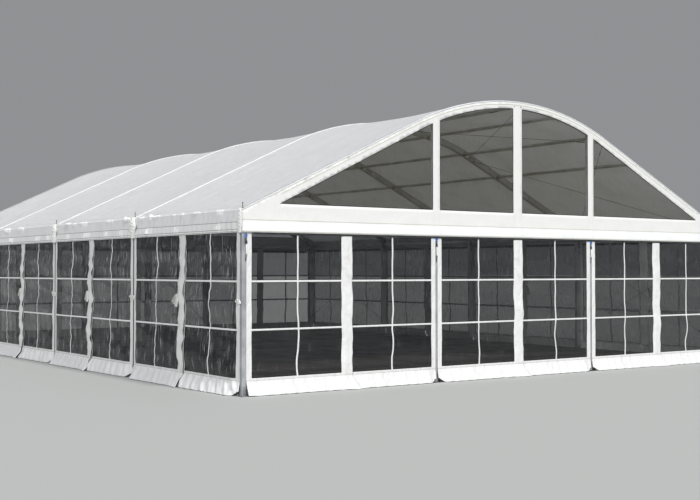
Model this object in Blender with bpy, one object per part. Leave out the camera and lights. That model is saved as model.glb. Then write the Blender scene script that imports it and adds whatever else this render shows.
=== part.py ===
"""Curved-roof frame marquee, three bays across the gable and four bays long.

Metres, +Z up. The origin is the middle of the plan at ground level. The gables face -Y and +Y,
the long sides face -X and +X. A wall piece is modelled in its wall's own coordinates: x along
the wall, y up, z outwards from the outer faces of the aluminium frame.
"""

import math

import bmesh
import bpy
from mathutils import Matrix, Vector

# Plan and roof line
GABLE_BAYS = 3
SIDE_BAYS = 4
GABLE_BAY = 5.0
SIDE_BAY = 5.0
EAVE_HEIGHT = 3.71
ROOF_PITCH = math.radians(25.2)
CROWN_HALF_WIDTH = 3.03
CROWN_FACETS = 12

# Aluminium frame
FRAME_DEPTH = 0.166
FRAME_WIDTH = 0.088
GABLE_POST_DEPTH = 0.130
PURLIN = 0.060
PURLIN_PITCH = 1.42
PURLINS_EACH_SIDE = 3
PURLIN_COVER = 0.016
EAVE_PURLIN_HEIGHT = 0.100
EAVE_PURLIN_DROP = 0.210
GABLE_BEAM = 0.060
GABLE_BEAM_HEIGHT = 0.100
GABLE_BEAM_LEVEL = 3.45
BASE_PLATE = 0.250
BASE_PLATE_THICKNESS = 0.012
CHEEK_WIDTH = 0.120
CHEEK_HEIGHT = 0.200
CHEEK_THICKNESS = 0.008
BRACE_DIAMETER = 0.012
BRACE_SIDES = 8
BRACE_SPACING = 0.024
BRACE_LOW = 0.60
BRACE_HIGH = 3.08

# Fabric
SHEET = 0.004
FILM = 0.003
ROOF_SAG = 0.060
SAG_RUN_OUT = 1.2
SAG_STEPS = 6
EAVE_OVERHANG = 0.020
GABLE_OVERHANG = 0.020
VALANCE_BOTTOM = 3.26
BAND_BOTTOM = 3.26
GABLE_SILL = 3.85
ARCH_BORDER = 0.240
GABLE_MULLION = 0.200
CENTRE_MULLION = 0.280
CURTAIN_TOP = 3.40
CURTAIN_LAP = 0.015
EDGE_STRIP = 0.140
MIDDLE_STRIP = 0.290
WINDOW_BAR = 0.038
WINDOW_BOTTOM = 0.35
WINDOW_TOP = 3.32
BAR_LEVELS = (1.31, 2.28)
SKIRT_FOLD = 0.30
SKIRT_FLARE = 0.12
FILM_MARGIN = 0.08

# Floor
FLOOR_THICKNESS = 0.120

# Gap between touching pieces
GAP = 0.0003

HALF_WIDTH = GABLE_BAYS * GABLE_BAY / 2
HALF_RUN = SIDE_BAYS * SIDE_BAY / 2
HALF_LENGTH = HALF_RUN + FRAME_WIDTH / 2
UPRIGHT_INNER = HALF_WIDTH - FRAME_DEPTH
UPRIGHT_CENTRE = HALF_WIDTH - FRAME_DEPTH / 2
CROWN_RADIUS = CROWN_HALF_WIDTH / math.sin(ROOF_PITCH)
CROWN_START = EAVE_HEIGHT + (HALF_WIDTH - CROWN_HALF_WIDTH) * math.tan(ROOF_PITCH)
CROWN_CENTRE = CROWN_START - CROWN_RADIUS * math.cos(ROOF_PITCH)
RAFTER_TOP = SHEET + GAP
RAFTER_UNDERSIDE = RAFTER_TOP + FRAME_DEPTH
FILM_PLANE = GAP
CURTAIN_PLANE = FILM_PLANE + FILM + GAP
COVER_PLANE = CURTAIN_PLANE + SHEET + GAP
FRAME_PLACES = [SIDE_BAY * number - HALF_RUN for number in range(SIDE_BAYS + 1)]
POST_PLACES = [GABLE_BAY * number - HALF_WIDTH for number in range(1, GABLE_BAYS)]

WALLS = {
    "front": (0.0, HALF_LENGTH),
    "right": (math.radians(90), HALF_WIDTH),
    "back": (math.radians(180), HALF_LENGTH),
    "left": (math.radians(-90), HALF_WIDTH),
}


def clear_scene():
    for obj in list(bpy.data.objects):
        bpy.data.objects.remove(obj, do_unlink=True)


def make_material(name, colour, roughness, metallic=0.0, alpha=1.0):
    material = bpy.data.materials.new(name)
    material.use_nodes = True
    shader = material.node_tree.nodes["Principled BSDF"]
    shader.inputs["Base Color"].default_value = (*colour, 1.0)
    shader.inputs["Roughness"].default_value = roughness
    shader.inputs["Metallic"].default_value = metallic
    shader.inputs["Alpha"].default_value = alpha
    return material


def add_piece(collection, name, mesh, material, location=(0, 0, 0), rotation=(0, 0, 0)):
    """Puts a mesh in the scene as one named piece, in a material of its own."""
    piece = bpy.data.objects.new(name, mesh.copy())
    piece.data.name = name
    piece.data.materials.clear()
    piece.data.materials.append(material)
    piece.location = location
    piece.rotation_euler = rotation
    collection.objects.link(piece)
    return piece


def mesh_of(bm, name):
    """Finishes a bmesh as a closed mesh with its faces pointing out."""
    bmesh.ops.recalc_face_normals(bm, faces=bm.faces)
    mesh = bpy.data.meshes.new(name)
    bm.to_mesh(mesh)
    bm.free()
    return mesh


def plate_mesh(name, outlines, thickness, lift=0.0):
    """A flat plate from its outline and its openings' outlines, from z = lift to lift + thickness."""
    curve = bpy.data.curves.new(name, "CURVE")
    curve.dimensions = "2D"
    curve.fill_mode = "BOTH"
    curve.extrude = thickness / 2
    for outline in outlines:
        spline = curve.splines.new("POLY")
        spline.points.add(len(outline) - 1)
        for point, (x, y) in zip(spline.points, outline):
            point.co = (x, y, 0, 1)
        spline.use_cyclic_u = True
    guide = bpy.data.objects.new(name, curve)
    bpy.context.scene.collection.objects.link(guide)
    bpy.context.view_layer.update()
    solid = guide.evaluated_get(bpy.context.evaluated_depsgraph_get())
    bm = bmesh.new()
    bm.from_mesh(bpy.data.meshes.new_from_object(solid))
    bpy.data.objects.remove(guide)
    bmesh.ops.remove_doubles(bm, verts=bm.verts, dist=0.00001)
    bmesh.ops.translate(bm, verts=bm.verts, vec=(0, 0, lift + thickness / 2))
    return mesh_of(bm, name)


def box_mesh(name, low, high):
    bm = bmesh.new()
    size = Vector(high) - Vector(low)
    middle = (Vector(high) + Vector(low)) / 2
    bmesh.ops.create_cube(bm, size=1, matrix=Matrix.LocRotScale(middle, None, size))
    return mesh_of(bm, name)


def joined_mesh(name, meshes):
    """One closed solid from meshes that overlap."""
    scene = bpy.context.scene.collection
    pieces = [bpy.data.objects.new(name, mesh) for mesh in meshes]
    for piece in pieces:
        scene.objects.link(piece)
    body = pieces[0]
    for other in pieces[1:]:
        union = body.modifiers.new("union", "BOOLEAN")
        union.operation = "UNION"
        union.solver = "EXACT"
        union.object = other
    bpy.context.view_layer.update()
    solid = body.evaluated_get(bpy.context.evaluated_depsgraph_get())
    joined = bpy.data.meshes.new_from_object(solid)
    for piece in pieces:
        bpy.data.objects.remove(piece)
    return joined


def loft_mesh(name, rings):
    """A solid through a row of rings with the same number of points, closed at both ends."""
    bm = bmesh.new()
    rows = [[bm.verts.new(point) for point in ring] for ring in rings]
    for row, following in zip(rows, rows[1:]):
        for number in range(len(row)):
            before = number - 1
            bm.faces.new((row[before], row[number], following[number], following[before]))
    bm.faces.new(rows[0])
    bm.faces.new(rows[-1])
    return mesh_of(bm, name)


def rectangle(left, right, bottom, top):
    return [(left, bottom), (right, bottom), (right, top), (left, top)]


def crown_places(depth):
    """Positions across the width of the crown's facet corners, on the line that lies depth inside the roof."""
    radius = CROWN_RADIUS - depth
    step = 2 * ROOF_PITCH / CROWN_FACETS
    return [radius * math.sin(step * number - ROOF_PITCH) for number in range(CROWN_FACETS + 1)]


def crown_height(x, depth):
    return CROWN_CENTRE + math.sqrt((CROWN_RADIUS - depth) ** 2 - x * x)


def roof_height(x, depth):
    """Height of the faceted line that lies depth inside the roof line, above the position x."""
    places = crown_places(depth)
    if abs(x) >= places[-1]:
        slope_height = EAVE_HEIGHT + (HALF_WIDTH - abs(x)) * math.tan(ROOF_PITCH)
        return slope_height - depth / math.cos(ROOF_PITCH)
    after = next(number for number, place in enumerate(places) if place > x)
    low, high = places[after - 1], places[after]
    share = (x - low) / (high - low)
    return crown_height(low, depth) * (1 - share) + crown_height(high, depth) * share


def roof_outline(depth, start, end, extra=()):
    """Points of that line from start to end across the width, with corners at the extra places too."""
    places = sorted(
        place for place in (*crown_places(depth), *extra) if start + GAP < place < end - GAP
    )
    return [(x, roof_height(x, depth)) for x in (start, *places, end)]


def along_roof(distance, depth):
    """Position, height and tilt of a point on the roof line, a distance along it from the ridge."""
    crown_length = CROWN_RADIUS * ROOF_PITCH
    tilt = max(-ROOF_PITCH, min(ROOF_PITCH, distance / CROWN_RADIUS))
    straight = abs(distance) - min(abs(distance), crown_length)
    side = math.copysign(1, distance)
    radius = CROWN_RADIUS - depth
    x = radius * math.sin(tilt) + side * straight * math.cos(ROOF_PITCH)
    z = CROWN_CENTRE + radius * math.cos(tilt) - straight * math.sin(ROOF_PITCH)
    return x, z, tilt


def square_outline(x, z, tilt, half_width, half_height):
    """A rectangle round a point, turned with the roof."""
    turn = Matrix.Rotation(-tilt, 2)
    corners = rectangle(-half_width, half_width, -half_height, half_height)
    return [tuple(Vector((x, z)) + turn @ Vector(corner)) for corner in corners]


def purlin_places():
    """Position, height and tilt of each roof purlin, with the ridge purlin in the middle."""
    depth = RAFTER_TOP + ROOF_SAG + PURLIN_COVER + PURLIN / 2
    numbers = range(-PURLINS_EACH_SIDE, PURLINS_EACH_SIDE + 1)
    return [along_roof(PURLIN_PITCH * number, depth) for number in numbers]


def eave_purlin_level():
    return EAVE_HEIGHT - EAVE_PURLIN_DROP


def foot_meshes(centre, reach, width):
    """A base plate and the two cheeks that hold an upright, at a position across the width."""
    half = BASE_PLATE / 2
    plate = box_mesh("base_plate", (centre - half, -half, 0), (centre + half, half, BASE_PLATE_THICKNESS))
    cheeks = []
    for side in (-1, 1):
        near, far = sorted((side * (width / 2 - CHEEK_THICKNESS), side * (width / 2 + CHEEK_THICKNESS)))
        low = (centre - reach / 2, near, BASE_PLATE_THICKNESS / 2)
        high = (centre + reach / 2, far, CHEEK_HEIGHT)
        cheeks.append(box_mesh("cheek", low, high))
    return [plate, *cheeks]


def portal_mesh():
    """Two uprights and the arched rafter between them, pierced for the purlins, with the feet."""
    top = roof_outline(RAFTER_TOP, -HALF_WIDTH, HALF_WIDTH)
    underside = roof_outline(RAFTER_UNDERSIDE, -UPRIGHT_INNER, UPRIGHT_INNER)
    outline = [
        (-HALF_WIDTH, 0),
        *top,
        (HALF_WIDTH, 0),
        (UPRIGHT_INNER, 0),
        *reversed(underside),
        (-UPRIGHT_INNER, 0),
    ]
    half = PURLIN / 2 + GAP
    holes = [square_outline(x, z, tilt, half, half) for x, z, tilt in purlin_places()]
    for side in (-1, 1):
        place = (side * UPRIGHT_CENTRE, eave_purlin_level(), 0.0)
        holes.append(square_outline(*place, half, EAVE_PURLIN_HEIGHT / 2 + GAP))
    arch = plate_mesh("portal", [outline, *holes], FRAME_WIDTH, lift=-FRAME_WIDTH / 2)
    arch.transform(Matrix.Rotation(math.radians(90), 4, "X"))
    feet = []
    for side in (-1, 1):
        feet += foot_meshes(side * UPRIGHT_CENTRE, CHEEK_WIDTH, FRAME_WIDTH)
    return joined_mesh("portal", [arch, *feet])


def add_portals(collection, material):
    mesh = portal_mesh()
    for number, place in enumerate(FRAME_PLACES, start=1):
        add_piece(collection, f"portal_frame_{number}", mesh, material, location=(0, place, 0))


def post_mesh(x):
    """A gable post up to the end rafter, pierced for the gable beam, in its wall's coordinates."""
    width = FRAME_WIDTH / 2
    top = min(roof_height(x - width, RAFTER_UNDERSIDE), roof_height(x + width, RAFTER_UNDERSIDE)) - GAP
    middle = -GABLE_POST_DEPTH / 2
    half_beam = GABLE_BEAM / 2 + GAP
    half_height = GABLE_BEAM_HEIGHT / 2 + GAP
    hole = rectangle(
        middle - half_beam,
        middle + half_beam,
        GABLE_BEAM_LEVEL - half_height,
        GABLE_BEAM_LEVEL + half_height,
    )
    side = plate_mesh(
        "post", [rectangle(-GABLE_POST_DEPTH, 0, 0, top), hole], FRAME_WIDTH, lift=-FRAME_WIDTH / 2
    )
    side.transform(Matrix.Rotation(math.radians(-90), 4, "Y"))
    plate_half = BASE_PLATE / 2
    plate = box_mesh(
        "base_plate",
        (-plate_half, 0, middle - plate_half),
        (plate_half, BASE_PLATE_THICKNESS, middle + plate_half),
    )
    return joined_mesh("post", [side, plate])


def wall_pose(wall, along=0.0):
    """Location and rotation that stand a wall piece upright, its z facing out."""
    turn, distance = WALLS[wall]
    location = Matrix.Rotation(turn, 3, "Z") @ Vector((along, -distance, 0))
    return location, (math.radians(90), 0, turn)


def add_gable_frames(collection, material):
    """The posts between the corner uprights of each gable, and the beam at eave height through them."""
    posts = [post_mesh(place) for place in POST_PLACES]
    beam = box_mesh(
        "beam",
        (
            GAP - UPRIGHT_INNER,
            GABLE_BEAM_LEVEL - GABLE_BEAM_HEIGHT / 2,
            -(GABLE_POST_DEPTH + GABLE_BEAM) / 2,
        ),
        (
            UPRIGHT_INNER - GAP,
            GABLE_BEAM_LEVEL + GABLE_BEAM_HEIGHT / 2,
            -(GABLE_POST_DEPTH - GABLE_BEAM) / 2,
        ),
    )
    for wall in ("front", "back"):
        for number, (place, post) in enumerate(zip(POST_PLACES, posts), start=1):
            location, rotation = wall_pose(wall, place)
            add_piece(collection, f"gable_post_{wall}_{number}", post, material, location, rotation)
        add_piece(collection, f"gable_beam_{wall}", beam, material, *wall_pose(wall))


def add_purlins(collection, material):
    """The bars that run the whole length through the rafters."""
    half = PURLIN / 2
    bar = box_mesh("purlin", (-half, -HALF_LENGTH, -half), (half, HALF_LENGTH, half))
    for number, (x, z, tilt) in enumerate(purlin_places(), start=1):
        add_piece(collection, f"roof_purlin_{number}", bar, material, (x, 0, z), (0, tilt, 0))
    half_height = EAVE_PURLIN_HEIGHT / 2
    rail = box_mesh("rail", (-half, -HALF_LENGTH, -half_height), (half, HALF_LENGTH, half_height))
    for side, name in ((-1, "left"), (1, "right")):
        place = (side * UPRIGHT_CENTRE, 0, eave_purlin_level())
        add_piece(collection, f"eave_purlin_{name}", rail, material, place)


def brace_mesh(run, rise):
    """A round bar between two upright faces, square at its ends and just clear of them."""
    radius = BRACE_DIAMETER / 2
    slant = math.atan2(rise, run)
    end_clearance = (radius * abs(math.sin(slant)) + GAP) / math.cos(slant)
    bm = bmesh.new()
    bmesh.ops.create_cone(
        bm,
        cap_ends=True,
        segments=BRACE_SIDES,
        radius1=radius,
        radius2=radius,
        depth=math.hypot(run, rise) - 2 * end_clearance,
    )
    bmesh.ops.rotate(bm, verts=bm.verts, matrix=Matrix.Rotation(slant - math.radians(90), 3, "X"))
    return mesh_of(bm, "brace")


def add_wall_braces(collection, material):
    """Crossed bars between the uprights of the end bays of both long sides."""
    run = SIDE_BAY - FRAME_WIDTH
    rise = BRACE_HIGH - BRACE_LOW
    bars = {"rising": brace_mesh(run, rise), "falling": brace_mesh(run, -rise)}
    middle = HALF_RUN - SIDE_BAY / 2
    for side, side_name in ((-1, "left"), (1, "right")):
        for end, end_name in ((-1, "front"), (1, "back")):
            for layer, (slope, bar) in zip((-1, 1), bars.items()):
                x = side * UPRIGHT_CENTRE + layer * BRACE_SPACING / 2
                location = (x, end * middle, (BRACE_LOW + BRACE_HIGH) / 2)
                name = f"wall_brace_{side_name}_{end_name}_{slope}"
                add_piece(collection, name, bar, material, location)


def sag_at(x, share):
    """How far the roof sheet hangs below the roof line, at a share of the way between two rafters."""
    from_eave = max(0.0, HALF_WIDTH - abs(x))
    return ROOF_SAG * math.sin(math.pi * share) * min(1.0, from_eave / SAG_RUN_OUT)


def roof_ring(y, share):
    """Section of a roof sheet with its two valances, outer line first, then the inner line back."""
    outer_edge = HALF_WIDTH + EAVE_OVERHANG
    inner_edge = outer_edge - SHEET
    run_out = HALF_WIDTH - SAG_RUN_OUT
    corners = (-HALF_WIDTH, -run_out, run_out, HALF_WIDTH)
    outer = roof_outline(0.0, -outer_edge, outer_edge, corners)
    inner = roof_outline(SHEET, -inner_edge, inner_edge, corners)
    ring = []
    for line, edge in ((outer, outer_edge), (inner[::-1], inner_edge)):
        ends = math.copysign(edge, line[0][0])
        ring.append((ends, y, VALANCE_BOTTOM))
        ring += [(x, y, z - sag_at(x, share)) for x, z in line]
        ring.append((-ends, y, VALANCE_BOTTOM))
    return ring


def add_roof_sheets(collection, material):
    """One sheet a bay, tight over the rafters and hanging a little between them."""
    for number in range(SIDE_BAYS):
        start, end = FRAME_PLACES[number], FRAME_PLACES[number + 1]
        first = start + FRAME_WIDTH / 2
        last = end - FRAME_WIDTH / 2
        low = start + GAP / 2 if number else -HALF_LENGTH - GABLE_OVERHANG
        high = end - GAP / 2 if number < SIDE_BAYS - 1 else HALF_LENGTH + GABLE_OVERHANG
        rings = [roof_ring(low, 0.0)]
        for step in range(SAG_STEPS + 1):
            share = step / SAG_STEPS
            rings.append(roof_ring(first + (last - first) * share, share))
        rings.append(roof_ring(high, 0.0))
        mesh = loft_mesh("roof_sheet", rings)
        add_piece(collection, f"roof_sheet_{number + 1}", mesh, material)


def window_openings(left, right):
    """The panes of one curtain: two windows beside the middle strip, parted by the window bars."""
    middle = (left + right) / 2
    windows = (
        (left + EDGE_STRIP, middle - MIDDLE_STRIP / 2),
        (middle + MIDDLE_STRIP / 2, right - EDGE_STRIP),
    )
    half_bar = WINDOW_BAR / 2
    lows = (WINDOW_BOTTOM, *(level + half_bar for level in BAR_LEVELS))
    highs = (*(level - half_bar for level in BAR_LEVELS), WINDOW_TOP)
    openings = []
    for start, end in windows:
        centre = (start + end) / 2
        for pane in ((start, centre - half_bar), (centre + half_bar, end)):
            openings += [rectangle(*pane, low, high) for low, high in zip(lows, highs)]
    return openings


def curtain_mesh(width):
    """A wall curtain of one bay, its skirt folded outwards at the foot."""
    half = width / 2
    outlines = [rectangle(-half, half, 0, CURTAIN_TOP), *window_openings(-half, half)]
    mesh = plate_mesh("curtain", outlines, SHEET, lift=CURTAIN_PLANE)
    bm = bmesh.new()
    bm.from_mesh(mesh)
    everything = bm.verts[:] + bm.edges[:] + bm.faces[:]
    bmesh.ops.bisect_plane(bm, geom=everything, plane_co=(0, SKIRT_FOLD, 0), plane_no=(0, 1, 0))
    for vertex in bm.verts:
        below = max(0.0, SKIRT_FOLD - vertex.co.y)
        vertex.co.z += SKIRT_FLARE * below / SKIRT_FOLD
    return mesh_of(bm, "curtain")


def bay_edges(wall):
    """Left and right edges of each curtain of a wall, lapping the uprights beside it."""
    half_upright = FRAME_WIDTH / 2
    if wall in ("front", "back"):
        starts = [-UPRIGHT_INNER, *(place + half_upright for place in POST_PLACES)]
        ends = [*(place - half_upright for place in POST_PLACES), UPRIGHT_INNER]
    else:
        starts = [place + half_upright for place in FRAME_PLACES[:-1]]
        ends = [place - half_upright for place in FRAME_PLACES[1:]]
    return [(start - CURTAIN_LAP, end + CURTAIN_LAP) for start, end in zip(starts, ends)]


def add_curtains(collection, material):
    """Curtains are numbered from the left along the gables, and from the front along the sides."""
    for wall in WALLS:
        edges = bay_edges(wall)
        backwards = wall in ("back", "left")
        for place, (left, right) in enumerate(edges, start=1):
            number = len(edges) + 1 - place if backwards else place
            location, rotation = wall_pose(wall, (left + right) / 2)
            mesh = curtain_mesh(right - left)
            add_piece(collection, f"curtain_{wall}_{number}", mesh, material, location, rotation)


def add_films(collection, material):
    """One clear sheet behind the windows of each wall. A gable's goes on up to its rafter."""
    bottom = WINDOW_BOTTOM - FILM_MARGIN
    half = UPRIGHT_INNER - FILM_MARGIN
    gable_top = roof_outline(RAFTER_TOP + FILM_MARGIN, -half, half)
    gable_outline = [(-half, bottom), *gable_top, (half, bottom)]
    gable = plate_mesh("film", [gable_outline], FILM, lift=FILM_PLANE)
    reach = HALF_LENGTH - FRAME_WIDTH - FILM_MARGIN
    side_outline = rectangle(-reach, reach, bottom, CURTAIN_TOP)
    side = plate_mesh("film", [side_outline], FILM, lift=FILM_PLANE)
    for wall in WALLS:
        mesh = gable if wall in ("front", "back") else side
        add_piece(collection, f"clear_film_{wall}", mesh, material, *wall_pose(wall))


def gable_openings():
    """The four clear panes of a gable: a triangle at each side and two beside the centre strip."""
    depth = RAFTER_TOP + ARCH_BORDER
    slope_height = EAVE_HEIGHT - depth / math.cos(ROOF_PITCH)
    tip = HALF_WIDTH - (GABLE_SILL - slope_height) / math.tan(ROOF_PITCH)
    inner = POST_PLACES[-1] - GABLE_MULLION / 2
    outer = POST_PLACES[-1] + GABLE_MULLION / 2
    centre = CENTRE_MULLION / 2
    left_pane = [(-inner, GABLE_SILL), *roof_outline(depth, -inner, -centre), (-centre, GABLE_SILL)]
    left_triangle = [*roof_outline(depth, -tip, -outer), (-outer, GABLE_SILL)]
    panes = [left_pane, left_triangle]
    return panes + [[(-x, y) for x, y in reversed(pane)] for pane in panes]


def add_gable_covers(collection, material):
    """The white gable panels: arch border, upright strips and the band over the curtains."""
    half = HALF_WIDTH + EAVE_OVERHANG - SHEET - GAP
    outline = [(-half, BAND_BOTTOM), *roof_outline(RAFTER_TOP, -half, half), (half, BAND_BOTTOM)]
    mesh = plate_mesh("cover", [outline, *gable_openings()], SHEET, lift=COVER_PLANE)
    for wall in ("front", "back"):
        add_piece(collection, f"gable_cover_{wall}", mesh, material, *wall_pose(wall))


def add_floor(collection, material):
    half_width = UPRIGHT_CENTRE - BASE_PLATE / 2 - GAP
    half_length = HALF_LENGTH - (GABLE_POST_DEPTH + BASE_PLATE) / 2 - GAP
    slab = box_mesh("floor", (-half_width, -half_length, 0), (half_width, half_length, FLOOR_THICKNESS))
    add_piece(collection, "floor", slab, material)


def main():
    clear_scene()
    marquee = bpy.data.collections.new("marquee")
    bpy.context.scene.collection.children.link(marquee)
    aluminium = make_material("extruded_aluminium", (0.42, 0.42, 0.44), 0.38, metallic=1.0)
    galvanised = make_material("galvanised_wire", (0.30, 0.31, 0.32), 0.45, metallic=1.0)
    fabric = make_material("white_coated_fabric", (0.83, 0.84, 0.83), 0.55)
    film = make_material("clear_film", (0.75, 0.78, 0.80), 0.08, alpha=0.3)
    boards = make_material("dark_floor_boards", (0.07, 0.065, 0.06), 0.6)
    add_portals(marquee, aluminium)
    add_gable_frames(marquee, aluminium)
    add_purlins(marquee, aluminium)
    add_wall_braces(marquee, galvanised)
    add_roof_sheets(marquee, fabric)
    add_gable_covers(marquee, fabric)
    add_curtains(marquee, fabric)
    add_films(marquee, film)
    add_floor(marquee, boards)


if __name__ == "__main__":
    main()
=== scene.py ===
"""Curved-roof frame marquee: its fabric, film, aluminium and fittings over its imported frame.

Metres, +Z up, origin in the middle of the plan at ground level. The gables face -Y and +Y. A wall
piece is worked out in its wall's own coordinates: along it, up, and outwards from the outer faces
of the aluminium frame.
"""

import math

import bmesh
import bpy
import numpy as np
from bpy.props import FloatProperty, FloatVectorProperty, IntProperty, PointerProperty
from mathutils import Matrix, Vector
from mathutils.geometry import delaunay_2d_cdt


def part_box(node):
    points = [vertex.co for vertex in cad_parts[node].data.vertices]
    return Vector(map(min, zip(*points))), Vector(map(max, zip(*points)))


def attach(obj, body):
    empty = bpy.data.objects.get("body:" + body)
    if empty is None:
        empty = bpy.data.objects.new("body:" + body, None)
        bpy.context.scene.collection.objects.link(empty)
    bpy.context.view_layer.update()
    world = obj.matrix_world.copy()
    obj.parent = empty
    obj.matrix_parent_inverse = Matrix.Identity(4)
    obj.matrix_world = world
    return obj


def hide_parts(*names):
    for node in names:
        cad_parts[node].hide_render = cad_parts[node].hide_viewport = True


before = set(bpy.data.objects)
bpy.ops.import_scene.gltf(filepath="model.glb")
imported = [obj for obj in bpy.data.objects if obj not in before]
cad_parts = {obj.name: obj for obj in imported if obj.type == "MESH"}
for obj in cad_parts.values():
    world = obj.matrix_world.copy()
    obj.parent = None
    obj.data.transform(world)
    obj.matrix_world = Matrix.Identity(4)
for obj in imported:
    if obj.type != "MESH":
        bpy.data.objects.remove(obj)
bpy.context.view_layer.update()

bl_info = {
    "name": "Frame Marquee",
    "version": (1, 0, 0),
    "blender": (4, 5, 0),
    "location": "3D View > Sidebar > Marquee",
    "description": "Dresses the frame of a curved-roof marquee with its fabric, film and fittings",
    "category": "Add Mesh",
}


def middle_of(node, axis):
    """Middle of a node along one axis, to a tenth of a millimetre."""
    return round(sum(corner[axis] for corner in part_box(node)) / 2, 4)


# Sizes that repeat those of the frame
PITCH = math.radians(25.2)
CROWN_HALF_WIDTH = 3.03
EAVE_HEIGHT = 3.71
RAFTER_TOP = 0.0043
RAFTER_UNDERSIDE = 0.1703
GAP = 0.0003
EAVE_OVERHANG = 0.020
BAND_BOTTOM = 3.26
CURTAIN_TOP = 3.40

# Places read from the frame
HALF_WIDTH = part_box("roof_sheet_1")[1].x - EAVE_OVERHANG
HALF_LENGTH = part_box("roof_purlin_1")[1].y
FRAMES = [middle_of(f"portal_frame_{n}", 1) for n in range(1, 6)]
POSTS = [middle_of(f"gable_post_front_{n}", 0) for n in (1, 2)]
CROWN_RADIUS = CROWN_HALF_WIDTH / math.sin(PITCH)
CROWN_CENTRE = (
    EAVE_HEIGHT
    + (HALF_WIDTH - CROWN_HALF_WIDTH) * math.tan(PITCH)
    - CROWN_RADIUS * math.cos(PITCH)
)

# The cover rolls over the eave. Lengths along it are counted from the ridge.
ROLL = 0.030
ROLL_X = HALF_WIDTH + EAVE_OVERHANG - ROLL
SLOPE_END_X = ROLL_X + ROLL * math.sin(PITCH)
SLOPE_END = CROWN_RADIUS * PITCH + (SLOPE_END_X - CROWN_HALF_WIDTH) / math.cos(PITCH)
ROLL_Z = EAVE_HEIGHT + (HALF_WIDTH - SLOPE_END_X) * math.tan(PITCH) - ROLL * math.cos(PITCH)
ROLL_END = SLOPE_END + ROLL * (math.pi / 2 - PITCH)
HEM = ROLL_END + ROLL_Z - BAND_BOTTOM

# Small hardware
PLATE_THICK = 0.012
CHEEK_THICK = 0.008
STRAP_THICK = 0.006
SOCKET_THICK = 0.004
EASED = 0.0015

# Covers: from a frame's middle to the cut edge of a cover, and to where its cloth hangs free
KEDER = 0.020
FRAME_EDGE = 0.044
GABLE_FLAT = (15.04, 3.24)
BAND_LINE = 3.512
POST_SEAM = 0.085
CENTRE_SEAM = 0.125
ARCH_SEAM_END = 7.1
ARCH_SEAM_DEPTH = 0.075

# Curtains: the width of a weld, how far they stand off the frame, and the film behind the fabric
WELD = 0.012
STAND_OFF = 0.0078
FILM_BEHIND = 0.003
# A sheet's stated area is at least this share of the rectangle that it is cut from
LEAST_GABLE_SHARE = 0.301

GABLES = ("front", "back")
LONG_WALLS = ("left", "right")
SIDES = ((-1, "left"), (1, "right"))
WALLS = {
    "front": (0.0, HALF_LENGTH),
    "right": (math.pi / 2, HALF_WIDTH),
    "back": (math.pi, HALF_LENGTH),
    "left": (-math.pi / 2, HALF_WIDTH),
}


def settings(group):
    """The sizes or colours that the panel shows for one group of pieces."""
    return getattr(bpy.context.scene, "marquee_" + group)


# Shapes


def ease(value):
    """From 0 to 1 without a corner at either end."""
    value = np.clip(value, 0.0, 1.0)
    return value * value * (3 - 2 * value)


def wave(position, length, phase=0.0):
    """A sine wave of a length in metres."""
    return np.sin(2 * math.pi * position / length + phase)


def hump(*values):
    """A smooth hump: 1 where every value is 0, and nearly gone where one of them is 2."""
    return np.exp(-sum(value**2 for value in values))


def ripple(first, second, seed, wavelengths):
    """Smooth waves in chance directions, from -1 to 1, always the same for one seed."""
    chance = np.random.default_rng(seed)
    total = 0.0
    for wavelength in wavelengths:
        heading, phase = chance.uniform(0, 2 * math.pi, 2)
        travel = first * math.cos(heading) + second * math.sin(heading)
        total = total + wave(travel, wavelength, phase)
    return total / len(wavelengths)


def stand(wall, along, height, out):
    """A point, or an array of points, of a wall in the frame's coordinates."""
    turn, distance = WALLS[wall]
    reach = distance + np.asarray(out, float)
    along, height, reach = np.broadcast_arrays(along, height, reach)
    x = along * math.cos(turn) + reach * math.sin(turn)
    y = along * math.sin(turn) - reach * math.cos(turn)
    return np.stack([x, y, height], -1)


def roof_line(distance, depth=0.0):
    """Position across, height and tilt of the roof line, a distance along it from the ridge."""
    distance = np.asarray(distance, float)
    tilt = np.clip(distance / CROWN_RADIUS, -PITCH, PITCH)
    straight = np.maximum(np.abs(distance) - CROWN_RADIUS * PITCH, 0.0)
    across = (CROWN_RADIUS - depth) * np.sin(tilt) + np.sign(distance) * straight * math.cos(PITCH)
    height = CROWN_CENTRE + (CROWN_RADIUS - depth) * np.cos(tilt) - straight * math.sin(PITCH)
    return across, height, tilt


def roof_spot(distance, depth):
    """One place inside the roof line, as plain numbers."""
    return tuple(float(value) for value in roof_line(distance, depth))


def roof_height(across, depth=0.0):
    """Height of the line that lies depth inside the roof line."""
    across = np.abs(np.asarray(across, float))
    radius = CROWN_RADIUS - depth
    slope = EAVE_HEIGHT + (HALF_WIDTH - across) * math.tan(PITCH) - depth / math.cos(PITCH)
    crown = CROWN_CENTRE + np.sqrt(np.maximum(radius**2 - across**2, 0.0))
    return np.where(across < radius * math.sin(PITCH), crown, slope)


def places(*breaks, step):
    """Positions through all the breaks, no further apart than step."""
    breaks = sorted(set(round(value, 5) for value in breaks))
    row = [breaks[0]]
    for low, high in zip(breaks, breaks[1:]):
        count = max(1, math.ceil((high - low) / step - 1e-6))
        row += [low + (high - low) * number / count for number in range(1, count + 1)]
    return np.array(row)


def middles(row):
    """The middle of each gap between two positions."""
    return (row[1:] + row[:-1]) / 2


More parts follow.
